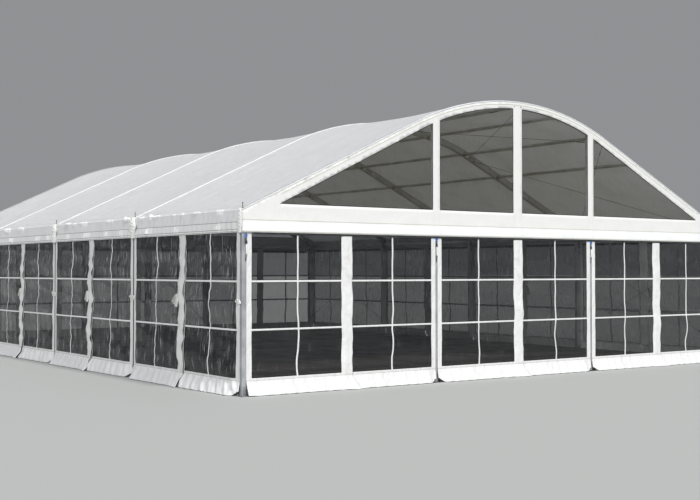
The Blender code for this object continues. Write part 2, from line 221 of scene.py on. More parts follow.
def cloth_mesh(name, points, faces, flat, layers=None):
    """A smooth mesh of cloth or film.

    flat holds each point's place on the flat cloth in metres, and layers each face's finish.
    """
    mesh = bpy.data.meshes.new(name)
    mesh.from_pydata(points.tolist(), [], faces.tolist())
    layer = mesh.uv_layers.new(name="metres")
    layer.data.foreach_set("uv", flat[faces.ravel()].ravel().astype(np.float32))
    if layers is not None:
        mesh.polygons.foreach_set("material_index", layers.ravel().astype(np.int32))
    mesh.shade_smooth()
    return mesh


def grid_mesh(name, points, flat, keep=None, layers=None):
    """A sheet from a grid of points. keep says which cells are there."""
    rows, columns = points.shape[:2]
    number = np.arange(rows * columns).reshape(rows, columns)
    corners = (number[:-1, :-1], number[:-1, 1:], number[1:, 1:], number[1:, :-1])
    quads = np.stack(corners, -1)
    keep = np.ones(quads.shape[:2], bool) if keep is None else keep
    used, quads = np.unique(quads[keep], return_inverse=True)
    points, flat = points.reshape(-1, 3)[used], flat.reshape(-1, 2)[used]
    layers = None if layers is None else layers[keep]
    return cloth_mesh(name, points, quads.reshape(-1, 4), flat, layers)


def joined_mesh(*meshes):
    """One mesh from several sheets."""
    bm = bmesh.new()
    for mesh in meshes:
        bm.from_mesh(mesh)
    bm.to_mesh(meshes[0])
    bm.free()
    return meshes[0]


def loft(bm, rings):
    """A closed tube through rings that have the same number of points."""
    rows = [[bm.verts.new(point) for point in ring] for ring in rings]
    for row, following in zip(rows, rows[1:]):
        for number in range(len(row)):
            before = number - 1
            bm.faces.new((row[before], row[number], following[number], following[before]))
    bm.faces.new(rows[0])
    bm.faces.new(rows[-1])


def tube(bm, path, radius, sides=10):
    """A round bar along a path. radius is one value, or one for each point, which turns a shape."""
    path = np.asarray(path, float)
    radii = np.broadcast_to(np.asarray(radius, float), (len(path),))
    heading = np.gradient(path, axis=0)
    heading /= np.linalg.norm(heading, axis=1)[:, None]
    across = np.cross(heading[0], (0, 0, 1) if abs(heading[0][2]) < 0.9 else (1, 0, 0))
    angles = np.arange(sides) * 2 * math.pi / sides
    rings = []
    for point, ahead, reach in zip(path, heading, radii):
        across = across - ahead * np.dot(across, ahead)
        across /= np.linalg.norm(across)
        other = np.cross(ahead, across)
        circle = np.outer(np.cos(angles), across) + np.outer(np.sin(angles), other)
        rings.append(point + reach * circle)
    loft(bm, rings)


def block(bm, low, high, ease_by=0.0, pose=None):
    """A box between two corners, its edges eased."""
    low, high = Vector(low), Vector(high)
    matrix = Matrix.LocRotScale((low + high) / 2, None, high - low)
    if pose is not None:
        matrix = pose @ matrix
    made = bmesh.ops.create_cube(bm, size=1, matrix=matrix)["verts"]
    if ease_by:
        edges = list({edge for vertex in made for edge in vertex.link_edges})
        bmesh.ops.bevel(bm, geom=edges, offset=ease_by, segments=2, profile=0.5, affect="EDGES")


def bolt(bm, at, axis, wide):
    """A washer and hexagon head on a face, the axis pointing away from it."""
    at, axis = np.asarray(at, float), np.asarray(axis, float)
    washer = at + axis * 0.003
    tube(bm, [at, washer], wide * 0.85, 16)
    crown = [washer, at + axis * wide * 0.5, at + axis * wide * 0.6]
    tube(bm, crown, [wide * 0.55, wide * 0.55, wide * 0.45], 6)


def both_sides(half):
    """A section as (depth, side) points all round, from those of one half."""
    return half + [(into, -out) for into, out in half[-2:0:-1]]


def profile(depth, width):
    """Section of the main profile.

    It has two keder grooves in its outer and its inner face, eased corners and a shallow recess
    along each side, which is what makes it look like two bars side by side.
    """
    half = width / 2
    groove = half - 0.018
    edge = [
        (0, 0), (0, groove - 0.0045), (0.010, groove - 0.0045), (0.010, groove - 0.0075),
        (0.022, groove - 0.0075), (0.022, groove + 0.0075), (0.010, groove + 0.0075),
        (0.010, groove + 0.0045), (0, groove + 0.0045), (0, half - 0.002), (0.002, half),
        (0.030, half), (0.033, half - 0.0025),
    ]
    return both_sides(edge + [(depth - into, out) for into, out in reversed(edge)])


def bar_profile(depth, width):
    """Section of a purlin or rail: a box with one groove in its outer face and eased corners."""
    half, corner = width / 2, 0.003
    return both_sides([
        (0.012, 0.0), (0.012, 0.008), (0.004, 0.008), (0.004, 0.005), (0.0, 0.005),
        (0.0, half - corner), (corner, half), (depth - corner, half), (depth, half - corner),
        (depth, 0.0),
    ])


def sweep(bm, stations, section, depth):
    """Carries a section along stations of (outer point, inner point, direction to the side)."""
    rings = []
    for outer, inner, side in stations:
        outer, inner, side = (np.asarray(value, float) for value in (outer, inner, side))
        rings.append([outer + (inner - outer) * into / depth + side * out for into, out in section])
    loft(bm, rings)


def place(name, mesh, finishes, replaces=()):
    """Puts a mesh in the scene as one piece of the marquee."""
    piece = bpy.data.objects.new(name, mesh)
    for finish_name in finishes:
        mesh.materials.append(finish(finish_name))
    bpy.context.scene.collection.objects.link(piece)
    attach(piece, "root")
    if replaces:
        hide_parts(*replaces)
    return piece


def place_cloth(name, mesh, finishes, replaces=()):
    """Puts a sheet of coated fabric in the scene, as thick as the cloth."""
    piece = place(name, mesh, finishes, replaces)
    cloth = piece.modifiers.new("cloth thickness", "SOLIDIFY")
    cloth.thickness = settings("cover").cloth
    cloth.offset = -1.0
    return piece


def place_solid(name, bm, finish_name, replaces=()):
    """Puts a bmesh in the scene with its faces out, smooth over edges of less than 32 degrees."""
    bmesh.ops.recalc_face_normals(bm, faces=bm.faces)
    mesh = bpy.data.meshes.new(name)
    bm.to_mesh(mesh)
    bm.free()
    mesh.shade_smooth()
    mesh.set_sharp_from_angle(angle=math.radians(32))
    return place(name, mesh, [finish_name], replaces)


# Finishes


def linear(hex_colour):
    """An sRGB hex value such as f4f4ef as linear colour with full alpha."""
    values = [int(hex_colour[start : start + 2], 16) / 255 for start in (0, 2, 4)]
    values = [v / 12.92 if v <= 0.04045 else ((v + 0.055) / 1.055) ** 2.4 for v in values]
    return (*values, 1.0)


def full(colour):
    """A hex value, or a colour of the panel, as linear colour with full alpha."""
    return linear(colour) if isinstance(colour, str) else (*colour, 1.0)


def add_node(tree, kind, own=(), inputs=()):
    """Adds a shader node with its own settings, and its inputs as values or sockets to link from.

    Returns its outputs.
    """
    node = tree.nodes.new("ShaderNode" + kind)
    for name, value in dict(own).items():
        setattr(node, name, value)
    for name, value in dict(inputs).items():
        if isinstance(value, bpy.types.NodeSocket):
            tree.links.new(value, node.inputs[name])
        else:
            node.inputs[name].default_value = value
    return node.outputs


def new_finish(name, values):
    """A material with its shader's sockets set. Returns it and its tree."""
    material = bpy.data.materials.new(name)
    material.use_nodes = True
    shader = material.node_tree.nodes["Principled BSDF"]
    for socket, value in values.items():
        shader.inputs[socket].default_value = value
    return material, material.node_tree


def per_metre(millimetres):
    """Scale of a noise or cell pattern whose marks are that large."""
    return 1000 / millimetres


def waves_per(millimetres):
    """Scale of a wave pattern with that spacing, whose own period is 2 pi / 20 at scale 1."""
    return 2 * math.pi / 20 * 1000 / millimetres


def patches(tree, at, millimetres, low, high, stretch=(1, 1, 1), detail=3.0):
    """A soft patchy factor from 0 to 1, its marks stretched or not."""
    moved = add_node(tree, "Mapping", (), {"Vector": at, "Scale": stretch})
    noise = add_node(tree, "TexNoise", (), {
        "Vector": moved[0], "Scale": per_metre(millimetres), "Detail": detail, "Roughness": 0.55,
    })
    ranged = {"Value": noise["Fac"], "From Min": low, "From Max": high}
    return add_node(tree, "MapRange", {"interpolation_type": "SMOOTHSTEP"}, ranged)[0]


def added_up(tree, *shares):
    """The sum of several patterns, each times its share."""
    total = None
    for pattern, share in shares:
        inputs = {0: pattern, 1: share}
        if total is not None:
            inputs[2] = total
        operation = "MULTIPLY" if total is None else "MULTIPLY_ADD"
        total = add_node(tree, "Math", {"operation": operation}, inputs)[0]
    return total


def dress(tree, worn, clean, aged, gloss=None, relief=None):
    """Leads patterns to the shader: two colours by how worn it is, its roughness and its bumps.

    gloss is a pattern and the roughness at its 0 and 1, relief a pattern and its depth.
    """
    mixed = add_node(tree, "Mix", {"data_type": "RGBA"}, {0: worn, 6: clean, 7: aged})
    made = {"Base Color": mixed[2]}
    if gloss:
        span = {"Value": gloss[0], "To Min": gloss[1], "To Max": gloss[2]}
        made["Roughness"] = add_node(tree, "MapRange", (), span)[0]
    if relief:
        made["Normal"] = add_node(tree, "Bump", (), {"Height": relief[0], "Distance": relief[1]})[0]
    for socket, output in made.items():
        tree.links.new(output, tree.nodes["Principled BSDF"].inputs[socket])


def coated_fabric(name, colour, grime, crease, runs=0.8, glow=0.0):
    """Polyester cloth coated with white PVC by knife and lacquered.

    The coating hides most of the weave, so the eye gets a satin white with soft creases, faint
    run-off streaks down the cloth and grime in patches. glow is the share of the light that
    enters the cloth, some of which comes out on its other side.
    """
    material, tree = new_finish(name, {
        "Roughness": 0.48, "IOR": 1.46, "Coat Weight": 0.12, "Coat Roughness": 0.35,
        "Subsurface Weight": glow, "Subsurface Radius": (1.0, 1.0, 1.0), "Subsurface Scale": 0.006,
    })
    flat = add_node(tree, "UVMap", {"uv_map": "metres"})[0]
    dirt = patches(tree, flat, 700, 0.42, 0.78, detail=5.0)
    streaks = patches(tree, flat, 60, 0.50, 0.80, stretch=(1, 0.05, 1))
    worn = added_up(tree, (dirt, grime), (streaks, grime * runs))
    creases = patches(tree, flat, 190, 0.25, 0.75, stretch=(1, 0.45, 1), detail=4.0)
    crinkles = patches(tree, flat, 45, 0.3, 0.7, stretch=(1, 0.6, 1), detail=2.0)
    shares = [(creases, crease), (crinkles, crease * 0.18)]
    # The threads are 1 mm apart in the real cloth, and drawn at 4 mm so that they show
    for direction in ("X", "Y"):
        bands = {"wave_type": "BANDS", "bands_direction": direction}
        threads = add_node(tree, "TexWave", bands, {"Vector": flat, "Scale": waves_per(4.0)})
        shares.append((threads["Fac"], 0.012))
    height = added_up(tree, *shares)
    dress(tree, worn, full(colour), linear("85847b"), (dirt, 0.42, 0.60), (height, 0.02))
    return material


def clear_film(name, tint, haze_and_glint, alpha, marks_seen, gloss=0.5):
    """Clear PVC film rolled to a polish, welded in at its edges.

    It reads as a dark glossy pane with soft reflections; its dark tint is painted shade of the dim
    inside seen through it. Folding and rolling it up leaves long fine lines up and down it, and a
    few wide milky creases, and these pale marks are partly painted reflections.
    """
    values = {"Roughness": 0.08, "IOR": 1.50, "Alpha": alpha, "Specular IOR Level": gloss}
    material, tree = new_finish(name, values)
    flat = add_node(tree, "UVMap", {"uv_map": "metres"})[0]
    # Pale marks, partly painted reflections: fine lines up and down, and a few wide creases
    lines = patches(tree, flat, 30, 0.53, 0.70, stretch=(1, 0.08, 1), detail=2.0)
    creases = patches(tree, flat, 110, 0.60, 0.74, stretch=(1, 0.30, 1), detail=4.0)
    zones = patches(tree, flat, 620, 0.34, 0.66, detail=2.0)
    marks = added_up(tree, (added_up(tree, (lines, 0.75), (creases, 0.5)), zones))
    seen = added_up(tree, (marks, marks_seen))
    waves = patches(tree, flat, 300, 0.2, 0.8, stretch=(1, 0.35, 1), detail=1.0)
    height = added_up(tree, (waves, 0.5), (marks, 0.08))
    dress(tree, seen, full(tint), linear(haze_and_glint), relief=(height, 0.02))
    cover = add_node(tree, "MapRange", (), {"Value": seen, "To Min": alpha, "To Max": 0.95})[0]
    tree.links.new(cover, tree.nodes["Principled BSDF"].inputs["Alpha"])
    return material


def extruded_aluminium(name, colour):
    """Aluminium as it leaves the extrusion press, dulled by weather.

    Fine lines run along the bar and soft grey blotches break up its sheen. A third of its look
    is that of the pale oxide, which scatters light as paint does.
    """
    material, tree = new_finish(name, {"Metallic": 0.66, "Roughness": 0.42})
    spot = add_node(tree, "TexCoord")["Object"]
    blotches = patches(tree, spot, 420, 0.30, 0.75, detail=5.0)
    dulled = added_up(tree, (blotches, 0.6))
    lines = patches(tree, spot, 6, 0.3, 0.7, stretch=(1, 1, 0.01), detail=2.0)
    dress(tree, dulled, full(colour), linear("8a8a8e"), (lines, 0.36, 0.52), (lines, 0.0002))
    return material


def galvanised_steel(name, colour, dark):
    """Steel dipped in molten zinc and gone dull. Crystals of zinc show as flat grey facets."""
    material, tree = new_finish(name, {"Metallic": 0.8, "Roughness": 0.5})
    spot = add_node(tree, "TexCoord")["Object"]
    cells = add_node(tree, "TexVoronoi", (), {"Vector": spot, "Scale": per_metre(14)})
    facets = add_node(tree, "SeparateColor", (), {"Color": cells["Color"]})
    dress(tree, facets[0], full(colour), linear(dark), (facets[1], 0.40, 0.62))
    return material


def film_faced_plywood(name, colour):
    """Birch plywood faced with dark phenolic film, pressed with a fine mesh so that feet hold.

    It is nearly black-brown with a dull sheen, dusty in patches and scuffed along its length.
    """
    material, tree = new_finish(name, {"Roughness": 0.5, "IOR": 1.5})
    spot = add_node(tree, "TexCoord")["Object"]
    dust = patches(tree, spot, 900, 0.40, 0.75, detail=5.0)
    scuffs = patches(tree, spot, 40, 0.62, 0.80, stretch=(1, 0.08, 1))
    worn = added_up(tree, (dust, 0.30), (scuffs, 0.25))
    mesh = {"Vector": spot, "Scale": per_metre(8)}
    cells = add_node(tree, "TexVoronoi", {"feature": "DISTANCE_TO_EDGE"}, mesh)
    relief = (cells["Distance"], 0.002)
    dress(tree, worn, full(colour), linear("6a645b"), (dust, 0.38, 0.70), relief)
    return material


def woven_webbing(name, colour, faded):
    """Polyester webbing woven in ribs across its width, slightly faded."""
    material, tree = new_finish(name, {"Roughness": 0.75, "Sheen Weight": 0.2})
    spot = add_node(tree, "TexCoord")["Object"]
    pale = patches(tree, spot, 60, 0.4, 0.8)
    # The ribs are 1.5 mm apart in the real webbing, and drawn at 5 mm so that they show
    bands = {"wave_type": "BANDS", "bands_direction": "Z"}
    ribs = add_node(tree, "TexWave", bands, {"Vector": spot, "Scale": waves_per(5.0)})
    dress(tree, pale, full(colour), linear(faded), relief=(ribs["Fac"], 0.001))
    return material


def extruded_rubber(name, colour):
    """Black rubber cord pressed out through a die, dull, with dust in its grain."""
    material, tree = new_finish(name, {"Roughness": 0.7})
    spot = add_node(tree, "TexCoord")["Object"]
    dust = patches(tree, spot, 30, 0.45, 1.6)
    dress(tree, dust, full(colour), linear("6b6a66"), relief=(dust, 0.001))
    return material


FINISHES = {}


def finish(name):
    """Each finish is made once, the first time that a piece asks for it."""
    shades = settings("colours")
    pvc, film = "pvc_coated_polyester_", "clear_pvc_film_"
    makers = {
        "roof_fabric": (coated_fabric, pvc + "roof", shades.roof, 0.16, 0.35, 1.6, 0.85),
        "wall_fabric": (coated_fabric, pvc + "walls", shades.walls, 0.10, 1.0),
        # One layer lets some light through, so it looks greyer than two; that grey is painted shade
        "shaded_single_fabric": (coated_fabric, pvc + "single_layer", "f0f0f1", 0.10, 0.5),
        "gable_fabric": (coated_fabric, pvc + "gables", shades.gables, 0.05, 0.3),
        # This whiter finish is painted light, on the seam covers, lower bands, eave rolls, and the
        # side skirts and window bars
        "painted_light_fabric": (coated_fabric, pvc + "seam_cover", "f2f3f3", 0.10, 0.3),
        # The welds' grey is partly painted shade, standing for the shade of the grooves along them
        "weld": (coated_fabric, "welded_pvc_seam", "a3a3a0", 0.20, 0.2),
        "stitching": (coated_fabric, "stitched_pvc_seam", "cfccbf", 0.20, 0.2),
        # The films' dark tints are painted shade of the dim inside seen through the windows
        "window_film": (clear_film, film + "windows", shades.film, "d3d6da", 0.76, 0.80, 0.26),
        # The gables' windows carry fewer of the pale marks
        "wiped_film": (clear_film, "wiped_" + film + "windows", shades.film, "c9ccd0", 0.50, 0.15),
        "gable_film": (clear_film, film + "gables", shades.gable_film, "8d8b7f", 0.30, 0.20),
        # The dark rim round each pane is painted shade along its weld
        "film_weld_and_shade": (clear_film, "welded_pvc_film_edge", "121214", "303033", 0.90, 0.5),
        "aluminium": (extruded_aluminium, "mill_finish_extruded_aluminium", shades.aluminium),
        "steel": (galvanised_steel, "hot_dip_galvanised_steel", "b6b8ba", "8b8e92"),
        "dark_steel": (galvanised_steel, "weathered_galvanised_feet", "626365", "414245"),
        "wire": (galvanised_steel, "galvanised_wire_rope", "6d6f73", "3f4145"),
        "boards": (film_faced_plywood, "film_faced_birch_plywood", shades.boards),
        # The light strips along the boards' edges are painted highlights of glancing light
        "board_edge_highlights": (film_faced_plywood, "worn_edges_of_birch_plywood", "b3a58c"),
        "strap": (woven_webbing, "woven_polyester_webbing", "26262a", "55555a"),
        "blue_strap": (woven_webbing, "woven_blue_polyester_webbing", "2a7fdc", "5a9ae0"),
        "tape": (woven_webbing, "woven_white_tape", "f6f6f3", "fcfcfa"),
        # Drawn in this finish, the keder lines beside seams and verges are partly painted shadow,
        # and the strip under each gable hem is painted shadow
        "rubber": (extruded_rubber, "extruded_rubber_keder", "343436"),
    }
    if name not in FINISHES:
        maker, *values = makers[name]
        FINISHES[name] = maker(*values)
    return FINISHES[name]


# Settings


def size(name, description, default):
    """A length that the panel shows."""
    return FloatProperty(
        name=name, description=description, default=default, unit="LENGTH", subtype="DISTANCE",
        precision=4,
    )


def shade(name, description, hex_colour):
    """A colour that the panel shows."""
    return FloatVectorProperty(
        name=name, description=description, default=linear(hex_colour)[:3], subtype="COLOR",
        size=3, min=0.0, max=1.0,
    )


class MarqueeColours(bpy.types.PropertyGroup):
    """Colours of the marquee's main materials."""

    roof: shade("Roof Fabric", "Colour of the clean roof covers", "e2e3e5")
    walls: shade("Wall Fabric", "Colour of the clean curtains", "e9e9e8")
    gables: shade("Gable Fabric", "Colour of the clean gable covers", "eaeae7")
    # The film tints are dark as painted shade of the dim inside seen through the windows
    film: shade("Window Film", "Tint of the windows in the curtains", "202124")
    gable_film: shade("Gable Film", "Tint of the panes in the gables", "55523f")
    aluminium: shade("Aluminium", "Colour of the bare profiles", "d4d4d7")
    boards: shade("Floor Boards", "Colour of the floor", "524d47")


class MarqueeFrameSizes(bpy.types.PropertyGroup):
    """Sizes of the aluminium frame and its fittings."""

    upright_depth: size("Profile Depth", "Depth of the uprights and rafters", 0.166)
    upright_width: size("Profile Width", "Width of the uprights, rafters and gable posts", 0.088)
    post_depth: size("Gable Post Depth", "Depth of the gable posts", 0.130)
    purlin: size("Purlin Size", "Width and height of a roof purlin", 0.060)
    purlin_pitch: size("Purlin Spacing", "Distance between roof purlins along the roof", 1.42)
    plate: size("Base Plate", "Side of the square base plates", 0.250)
    wire: size("Wire Rope", "Diameter of the bracing wires", 0.010)
    crown_steps: IntProperty(name="Crown Steps", description="Facets of the arch", default=26)


class MarqueeCoverSizes(bpy.types.PropertyGroup):
    """Sizes of the roof covers and gable covers."""

    sag: size("Roof Sag", "How far a roof cover hangs between two rafters", 0.060)
    cloth: size("Cloth Thickness", "Thickness of the coated cloth, drawn with its hems", 0.0025)
    seam_width: size("Seam Cover Width", "Width of the strip over each rafter", 0.092)
    seam_rise: size("Seam Cover Rise", "How far the strip over each rafter stands up", 0.020)
    sleeve_width: size("Sleeve Width", "Width of the gathered sleeve at each frame", 0.30)
    sleeve_rise: size("Sleeve Rise", "How far the gathered sleeve stands out", 0.075)
    sill: size("Gable Sill", "Height of the lower edge of the gable panes", 3.85)
    arch_border: size("Arch Border", "Width of the white border under the arch", 0.240)
    mullion: size("Gable Mullion", "Width of the strips over the gable posts", 0.200)
    centre_mullion: size("Centre Mullion", "Width of the strip in the middle", 0.280)


class MarqueeCurtainSizes(bpy.types.PropertyGroup):
    """Sizes of the wall curtains."""

    edge_strip: size("Edge Strip", "Width of the white strip beside an upright", 0.122)
    middle_strip: size("Middle Strip", "Width of the strip where two curtains lap", 0.266)
    bar: size("Window Bar", "Width of the white bars that divide the windows", 0.038)
    window_bottom: size("Window Bottom", "Height of the lower edge of the windows", 0.35)
    window_top: size("Window Top", "Height of the upper edge of the windows", 3.32)
    low_bar: size("Lower Bar", "Height of the lower window bar", 1.31)
    high_bar: size("Upper Bar", "Height of the upper window bar", 2.28)
    skirt: size("Skirt", "Height of the skirt that is turned outwards", 0.30)
    flare: size("Skirt Flare", "How far the skirt reaches out at the ground", 0.115)
    side_wave: size("Side Wave", "How far the side curtains wave in and out", 0.017)
    gable_wave: size("Gable Wave", "How far the gable curtains wave in and out", 0.007)


# Aluminium frame


def arch_stations(steps):
    """The outer and inner line of a portal from foot to foot, as (across, height) pairs."""
    inner_edge = HALF_WIDTH - settings("frame").upright_depth
    foot = ((HALF_WIDTH, PLATE_THICK), (inner_edge, PLATE_THICK))
    lines = ((HALF_WIDTH, RAFTER_TOP), (inner_edge, RAFTER_UNDERSIDE))
    knee = tuple((across, float(roof_height(across, depth))) for across, depth in lines)
    crown = []
    for turn in np.linspace(PITCH, -PITCH, steps + 1):
        radii = (CROWN_RADIUS - RAFTER_TOP, CROWN_RADIUS - RAFTER_UNDERSIDE)
        crown.append([(r * math.sin(turn), CROWN_CENTRE + r * math.cos(turn)) for r in radii])
    mirrored = [[(-x, z) for x, z in pair] for pair in (knee, foot)]
    return [foot, knee, *crown, *mirrored]


def add_foot(bm, centre, sides):
    """A base plate with its stake heads, and two cheeks with a bolt through them.

    sides is the pose of the foot: its local y points along the bolt.
    """
    sizes = settings("frame")
    half, width = sizes.plate / 2, sizes.upright_width / 2
    pose = Matrix.Translation(centre) @ sides
    block(bm, (-half, -half, 0), (half, half, PLATE_THICK), 0.002, pose)
    turn, origin = np.array(pose.to_3x3()), np.array(centre)
    for side in (-1, 1):
        near, far = sorted((side * width, side * (width + CHEEK_THICK)))
        block(bm, (-0.06, near, PLATE_THICK), (0.06, far, 0.200), 0.0025, pose)
        outward = turn @ np.array((0, side, 0))
        for across, height in ((0.0, 0.14), (-0.032, 0.06), (0.032, 0.06)):
            at = origin + turn @ np.array((across, side * (width + CHEEK_THICK), height))
            bolt(bm, at, outward, 0.022)
        for across in (-0.095, 0.095):
            spot = origin + turn @ np.array((across, side * 0.095, PLATE_THICK))
            stake = [spot + (0, 0, rise) for rise in (0, 0.012, 0.018, 0.020)]
            tube(bm, stake, [0.021, 0.021, 0.015, 0.004], 14)


def add_joint_straps(bm, y, side, face):
    """Steel straps on one face of a portal: at the knee, at the crown's end and under the eave."""
    sizes = settings("frame")
    out = np.array((0, face, 0))
    edge = y + face * (sizes.upright_width / 2 - 0.0005)
    half_width, bolt_size = 0.045, 0.020
    near, far = sorted((0.0, face * STRAP_THICK))
    for distance, reach in ((7.72, 0.30), (3.16, 0.24)):
        across, height, tilt = roof_spot(side * distance, (RAFTER_TOP + RAFTER_UNDERSIDE) / 2)
        pose = Matrix.Translation((across, edge, height)) @ Matrix.Rotation(tilt, 4, "Y")
        low, high = (-reach / 2, near, -half_width), (reach / 2, far, half_width)
        block(bm, low, high, 0.002, pose)
        for step in (-0.36, -0.14, 0.14, 0.36):
            bolt(bm, pose @ Vector((step * reach, face * STRAP_THICK, 0)), out, bolt_size)
    upright = side * (HALF_WIDTH - sizes.upright_depth / 2)
    low, high = (upright - half_width, edge + near, 3.18), (upright + half_width, edge + far, 3.42)
    block(bm, low, high, 0.002)
    for height in (3.22, 3.38):
        bolt(bm, (upright, edge + face * STRAP_THICK, height), out, bolt_size)


def add_portals():
    """The five arched frames, each with its joint straps and bolts, on its two feet."""
    sizes = settings("frame")
    depth = sizes.upright_depth
    section = profile(depth, sizes.upright_width)
    pairs = arch_stations(sizes.crown_steps)
    for number, y in enumerate(FRAMES, start=1):
        arch, straps, feet = bmesh.new(), bmesh.new(), bmesh.new()
        stations = [((a, y, b), (c, y, d), (0, 1, 0)) for (a, b), (c, d) in pairs]
        sweep(arch, stations, section, depth)
        for side in (-1, 1):
            add_foot(feet, (side * (HALF_WIDTH - depth / 2), y, 0), Matrix.Identity(4))
            for face in (-1, 1):
                # The gable cover lies flat on the outer faces of the end frames
                if (number, face) not in ((1, -1), (len(FRAMES), 1)):
                    add_joint_straps(straps, y, side, face)
        place_solid(f"portal_{number}", arch, "aluminium", replaces=[f"portal_frame_{number}"])
        place_solid(f"joint_straps_{number}", straps, "steel")
        place_solid(f"portal_feet_{number}", feet, "steel")


def add_gable_posts():
    """The posts between the corner uprights of each gable, and the beam at eave height."""
    sizes = settings("frame")
    depth, width = sizes.post_depth, sizes.upright_width
    section = profile(depth, width)
    for wall in GABLES:
        for number, x in enumerate(POSTS, start=1):
            post, foot = bmesh.new(), bmesh.new()
            low, high = [], []
            for into, out in section:
                top = float(roof_height(x + out, RAFTER_UNDERSIDE)) - GAP
                low.append(stand(wall, x + out, PLATE_THICK, -into))
                high.append(stand(wall, x + out, top, -into))
            loft(post, [low, high])
            replaced = [f"gable_post_{wall}_{number}"]
            place_solid(f"post_{wall}_{number}", post, "aluminium", replaces=replaced)
            centre = tuple(float(v) for v in stand(wall, x, 0.0, -depth / 2))
            add_foot(foot, centre, Matrix.Rotation(WALLS[wall][0] + math.pi / 2, 4, "Z"))
            place_solid(f"post_foot_{wall}_{number}", foot, "dark_steel")
        low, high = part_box(f"gable_beam_{wall}")
        middle, tall = (low.y + high.y) / 2, high.z - low.z
        beams, sockets = bmesh.new(), bmesh.new()
        faces = [x + side * width / 2 for x in POSTS for side in (-1, 1)]
        edges = [low.x, *faces, high.x]
        for start, end in zip(edges[::2], edges[1::2]):
            stations = [((x, middle, high.z), (x, middle, low.z), (0, 1, 0)) for x in (start, end)]
            sweep(beams, stations, bar_profile(tall, high.y - low.y), tall)
            for x, inward in ((start, 1), (end, -1)):
                near, far = sorted((x, x + inward * 0.05))
                low_corner = (near, low.y - SOCKET_THICK, low.z - SOCKET_THICK)
                high_corner = (far, high.y + SOCKET_THICK, high.z + SOCKET_THICK)
                block(sockets, low_corner, high_corner, EASED)
        place_solid(f"beam_{wall}", beams, "aluminium", replaces=[f"gable_beam_{wall}"])
        place_solid(f"beam_sockets_{wall}", sockets, "steel")


def add_purlins():
    """The roof purlins and eave rails, in bay lengths hooked between the frames."""
    sizes = settings("frame")
    half = sizes.upright_width / 2
    # They lie under the lowest place of the sagging covers
    depth = RAFTER_TOP + 0.060 + 0.016 + sizes.purlin / 2
    rows = []
    for number in range(-3, 4):
        spot = roof_spot(number * sizes.purlin_pitch, depth)
        rows.append((f"roof_purlin_{number + 4}", *spot, sizes.purlin))
    for name in LONG_WALLS:
        low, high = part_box(f"eave_purlin_{name}")
        middle = (low + high) / 2
        rows.append((f"eave_purlin_{name}", middle.x, middle.z, 0.0, high.z - low.z))
    reach = sizes.purlin / 2 + 0.004
    for name, across, height, tilt, tall in rows:
        bars, hooks = bmesh.new(), bmesh.new()
        up = np.array((math.sin(tilt), 0, math.cos(tilt)))
        side = np.array((math.cos(tilt), 0, -math.sin(tilt)))
        section = bar_profile(tall, sizes.purlin)
        for near, far in zip(FRAMES, FRAMES[1:]):
            stations = []
            for y in (near + half + 0.001, far - half - 0.001):
                centre = np.array((across, y, height))
                stations.append((centre + up * tall / 2, centre - up * tall / 2, side))
            sweep(bars, stations, section, tall)
            for y, inward in ((near + half, 1), (far - half, -1)):
                pose = Matrix.Translation((across, y, height)) @ Matrix.Rotation(tilt, 4, "Y")
                # A plate on the frame, and a tongue under the bar
                hook_parts = (
                    (0.008, -tall / 2 - 0.02, tall / 2 + 0.004),
                    (0.07, -tall / 2 - 0.006, -tall / 2),
                )
                for length, bottom, top in hook_parts:
                    low, high = sorted((0.0, inward * length))
                    block(hooks, (-reach, low, bottom), (reach, high, top), EASED, pose)
        place_solid(f"bars_{name}", bars, "aluminium", replaces=[name])
        place_solid(f"hooks_{name}", hooks, "dark_steel")


def add_stay(bm, start, end):
    """One taut wire rope with an eye and shackle at each end and a turnbuckle near its start."""
    start, end = np.asarray(start, float), np.asarray(end, float)
    length = np.linalg.norm(end - start)
    ahead = (end - start) / length

    def turned(distances, radius, sides=10):
        tube(bm, [start + ahead * distance for distance in distances], radius, sides)

    turned((0.06, length - 0.06), settings("frame").wire / 2, 8)
    for first in (0.0, length - 0.075):
        shackle = [first + step for step in (0.0, 0.012, 0.03, 0.062, 0.075)]
        turned(shackle, [0.011, 0.013, 0.009, 0.009, 0.006])
    radii = [0.006, 0.010, 0.010, 0.013]
    turned((0.34, 0.345, 0.37, 0.38, 0.52, 0.53, 0.555, 0.56), radii + radii[::-1])


def add_bracing():
    """Crossed wires in the walls and the roof of both end bays."""
    sizes = settings("frame")
    half = sizes.upright_width / 2
    ends = (("front", FRAMES[0], FRAMES[1]), ("back", FRAMES[-1], FRAMES[-2]))
    for side, side_name in SIDES:
        for end_name, outer, inner in ends:
            inward = 1 if inner > outer else -1
            outer, inner = outer + inward * half, inner - inward * half
            stays = bmesh.new()
            for layer, rises in ((-1, inward > 0), (1, inward < 0)):
                x = side * (HALF_WIDTH - sizes.upright_depth / 2) + layer * 0.012
                low, high = 0.60, 3.08
                if rises:
                    add_stay(stays, (x, outer, low), (x, inner, high))
                else:
                    add_stay(stays, (x, inner, low), (x, outer, high))
            name = f"{side_name}_{end_name}"
            replaced = [f"wall_brace_{name}_{slope}" for slope in ("rising", "falling")]
            place_solid(f"wall_stays_{name}", stays, "wire", replaced)
            stays = bmesh.new()
            for low_end, high_end in ((8.0, 3.2), (3.05, 0.12)):
                for layer, pair in enumerate(((low_end, high_end), (high_end, low_end))):
                    points = []
                    for distance, y in zip(pair, (outer, inner)):
                        across, height, _ = roof_spot(side * distance, 0.150 + layer * 0.014)
                        points.append((across, y, height))
                    add_stay(stays, *points)
            place_solid(f"roof_stays_{name}", stays, "wire")


# Covers


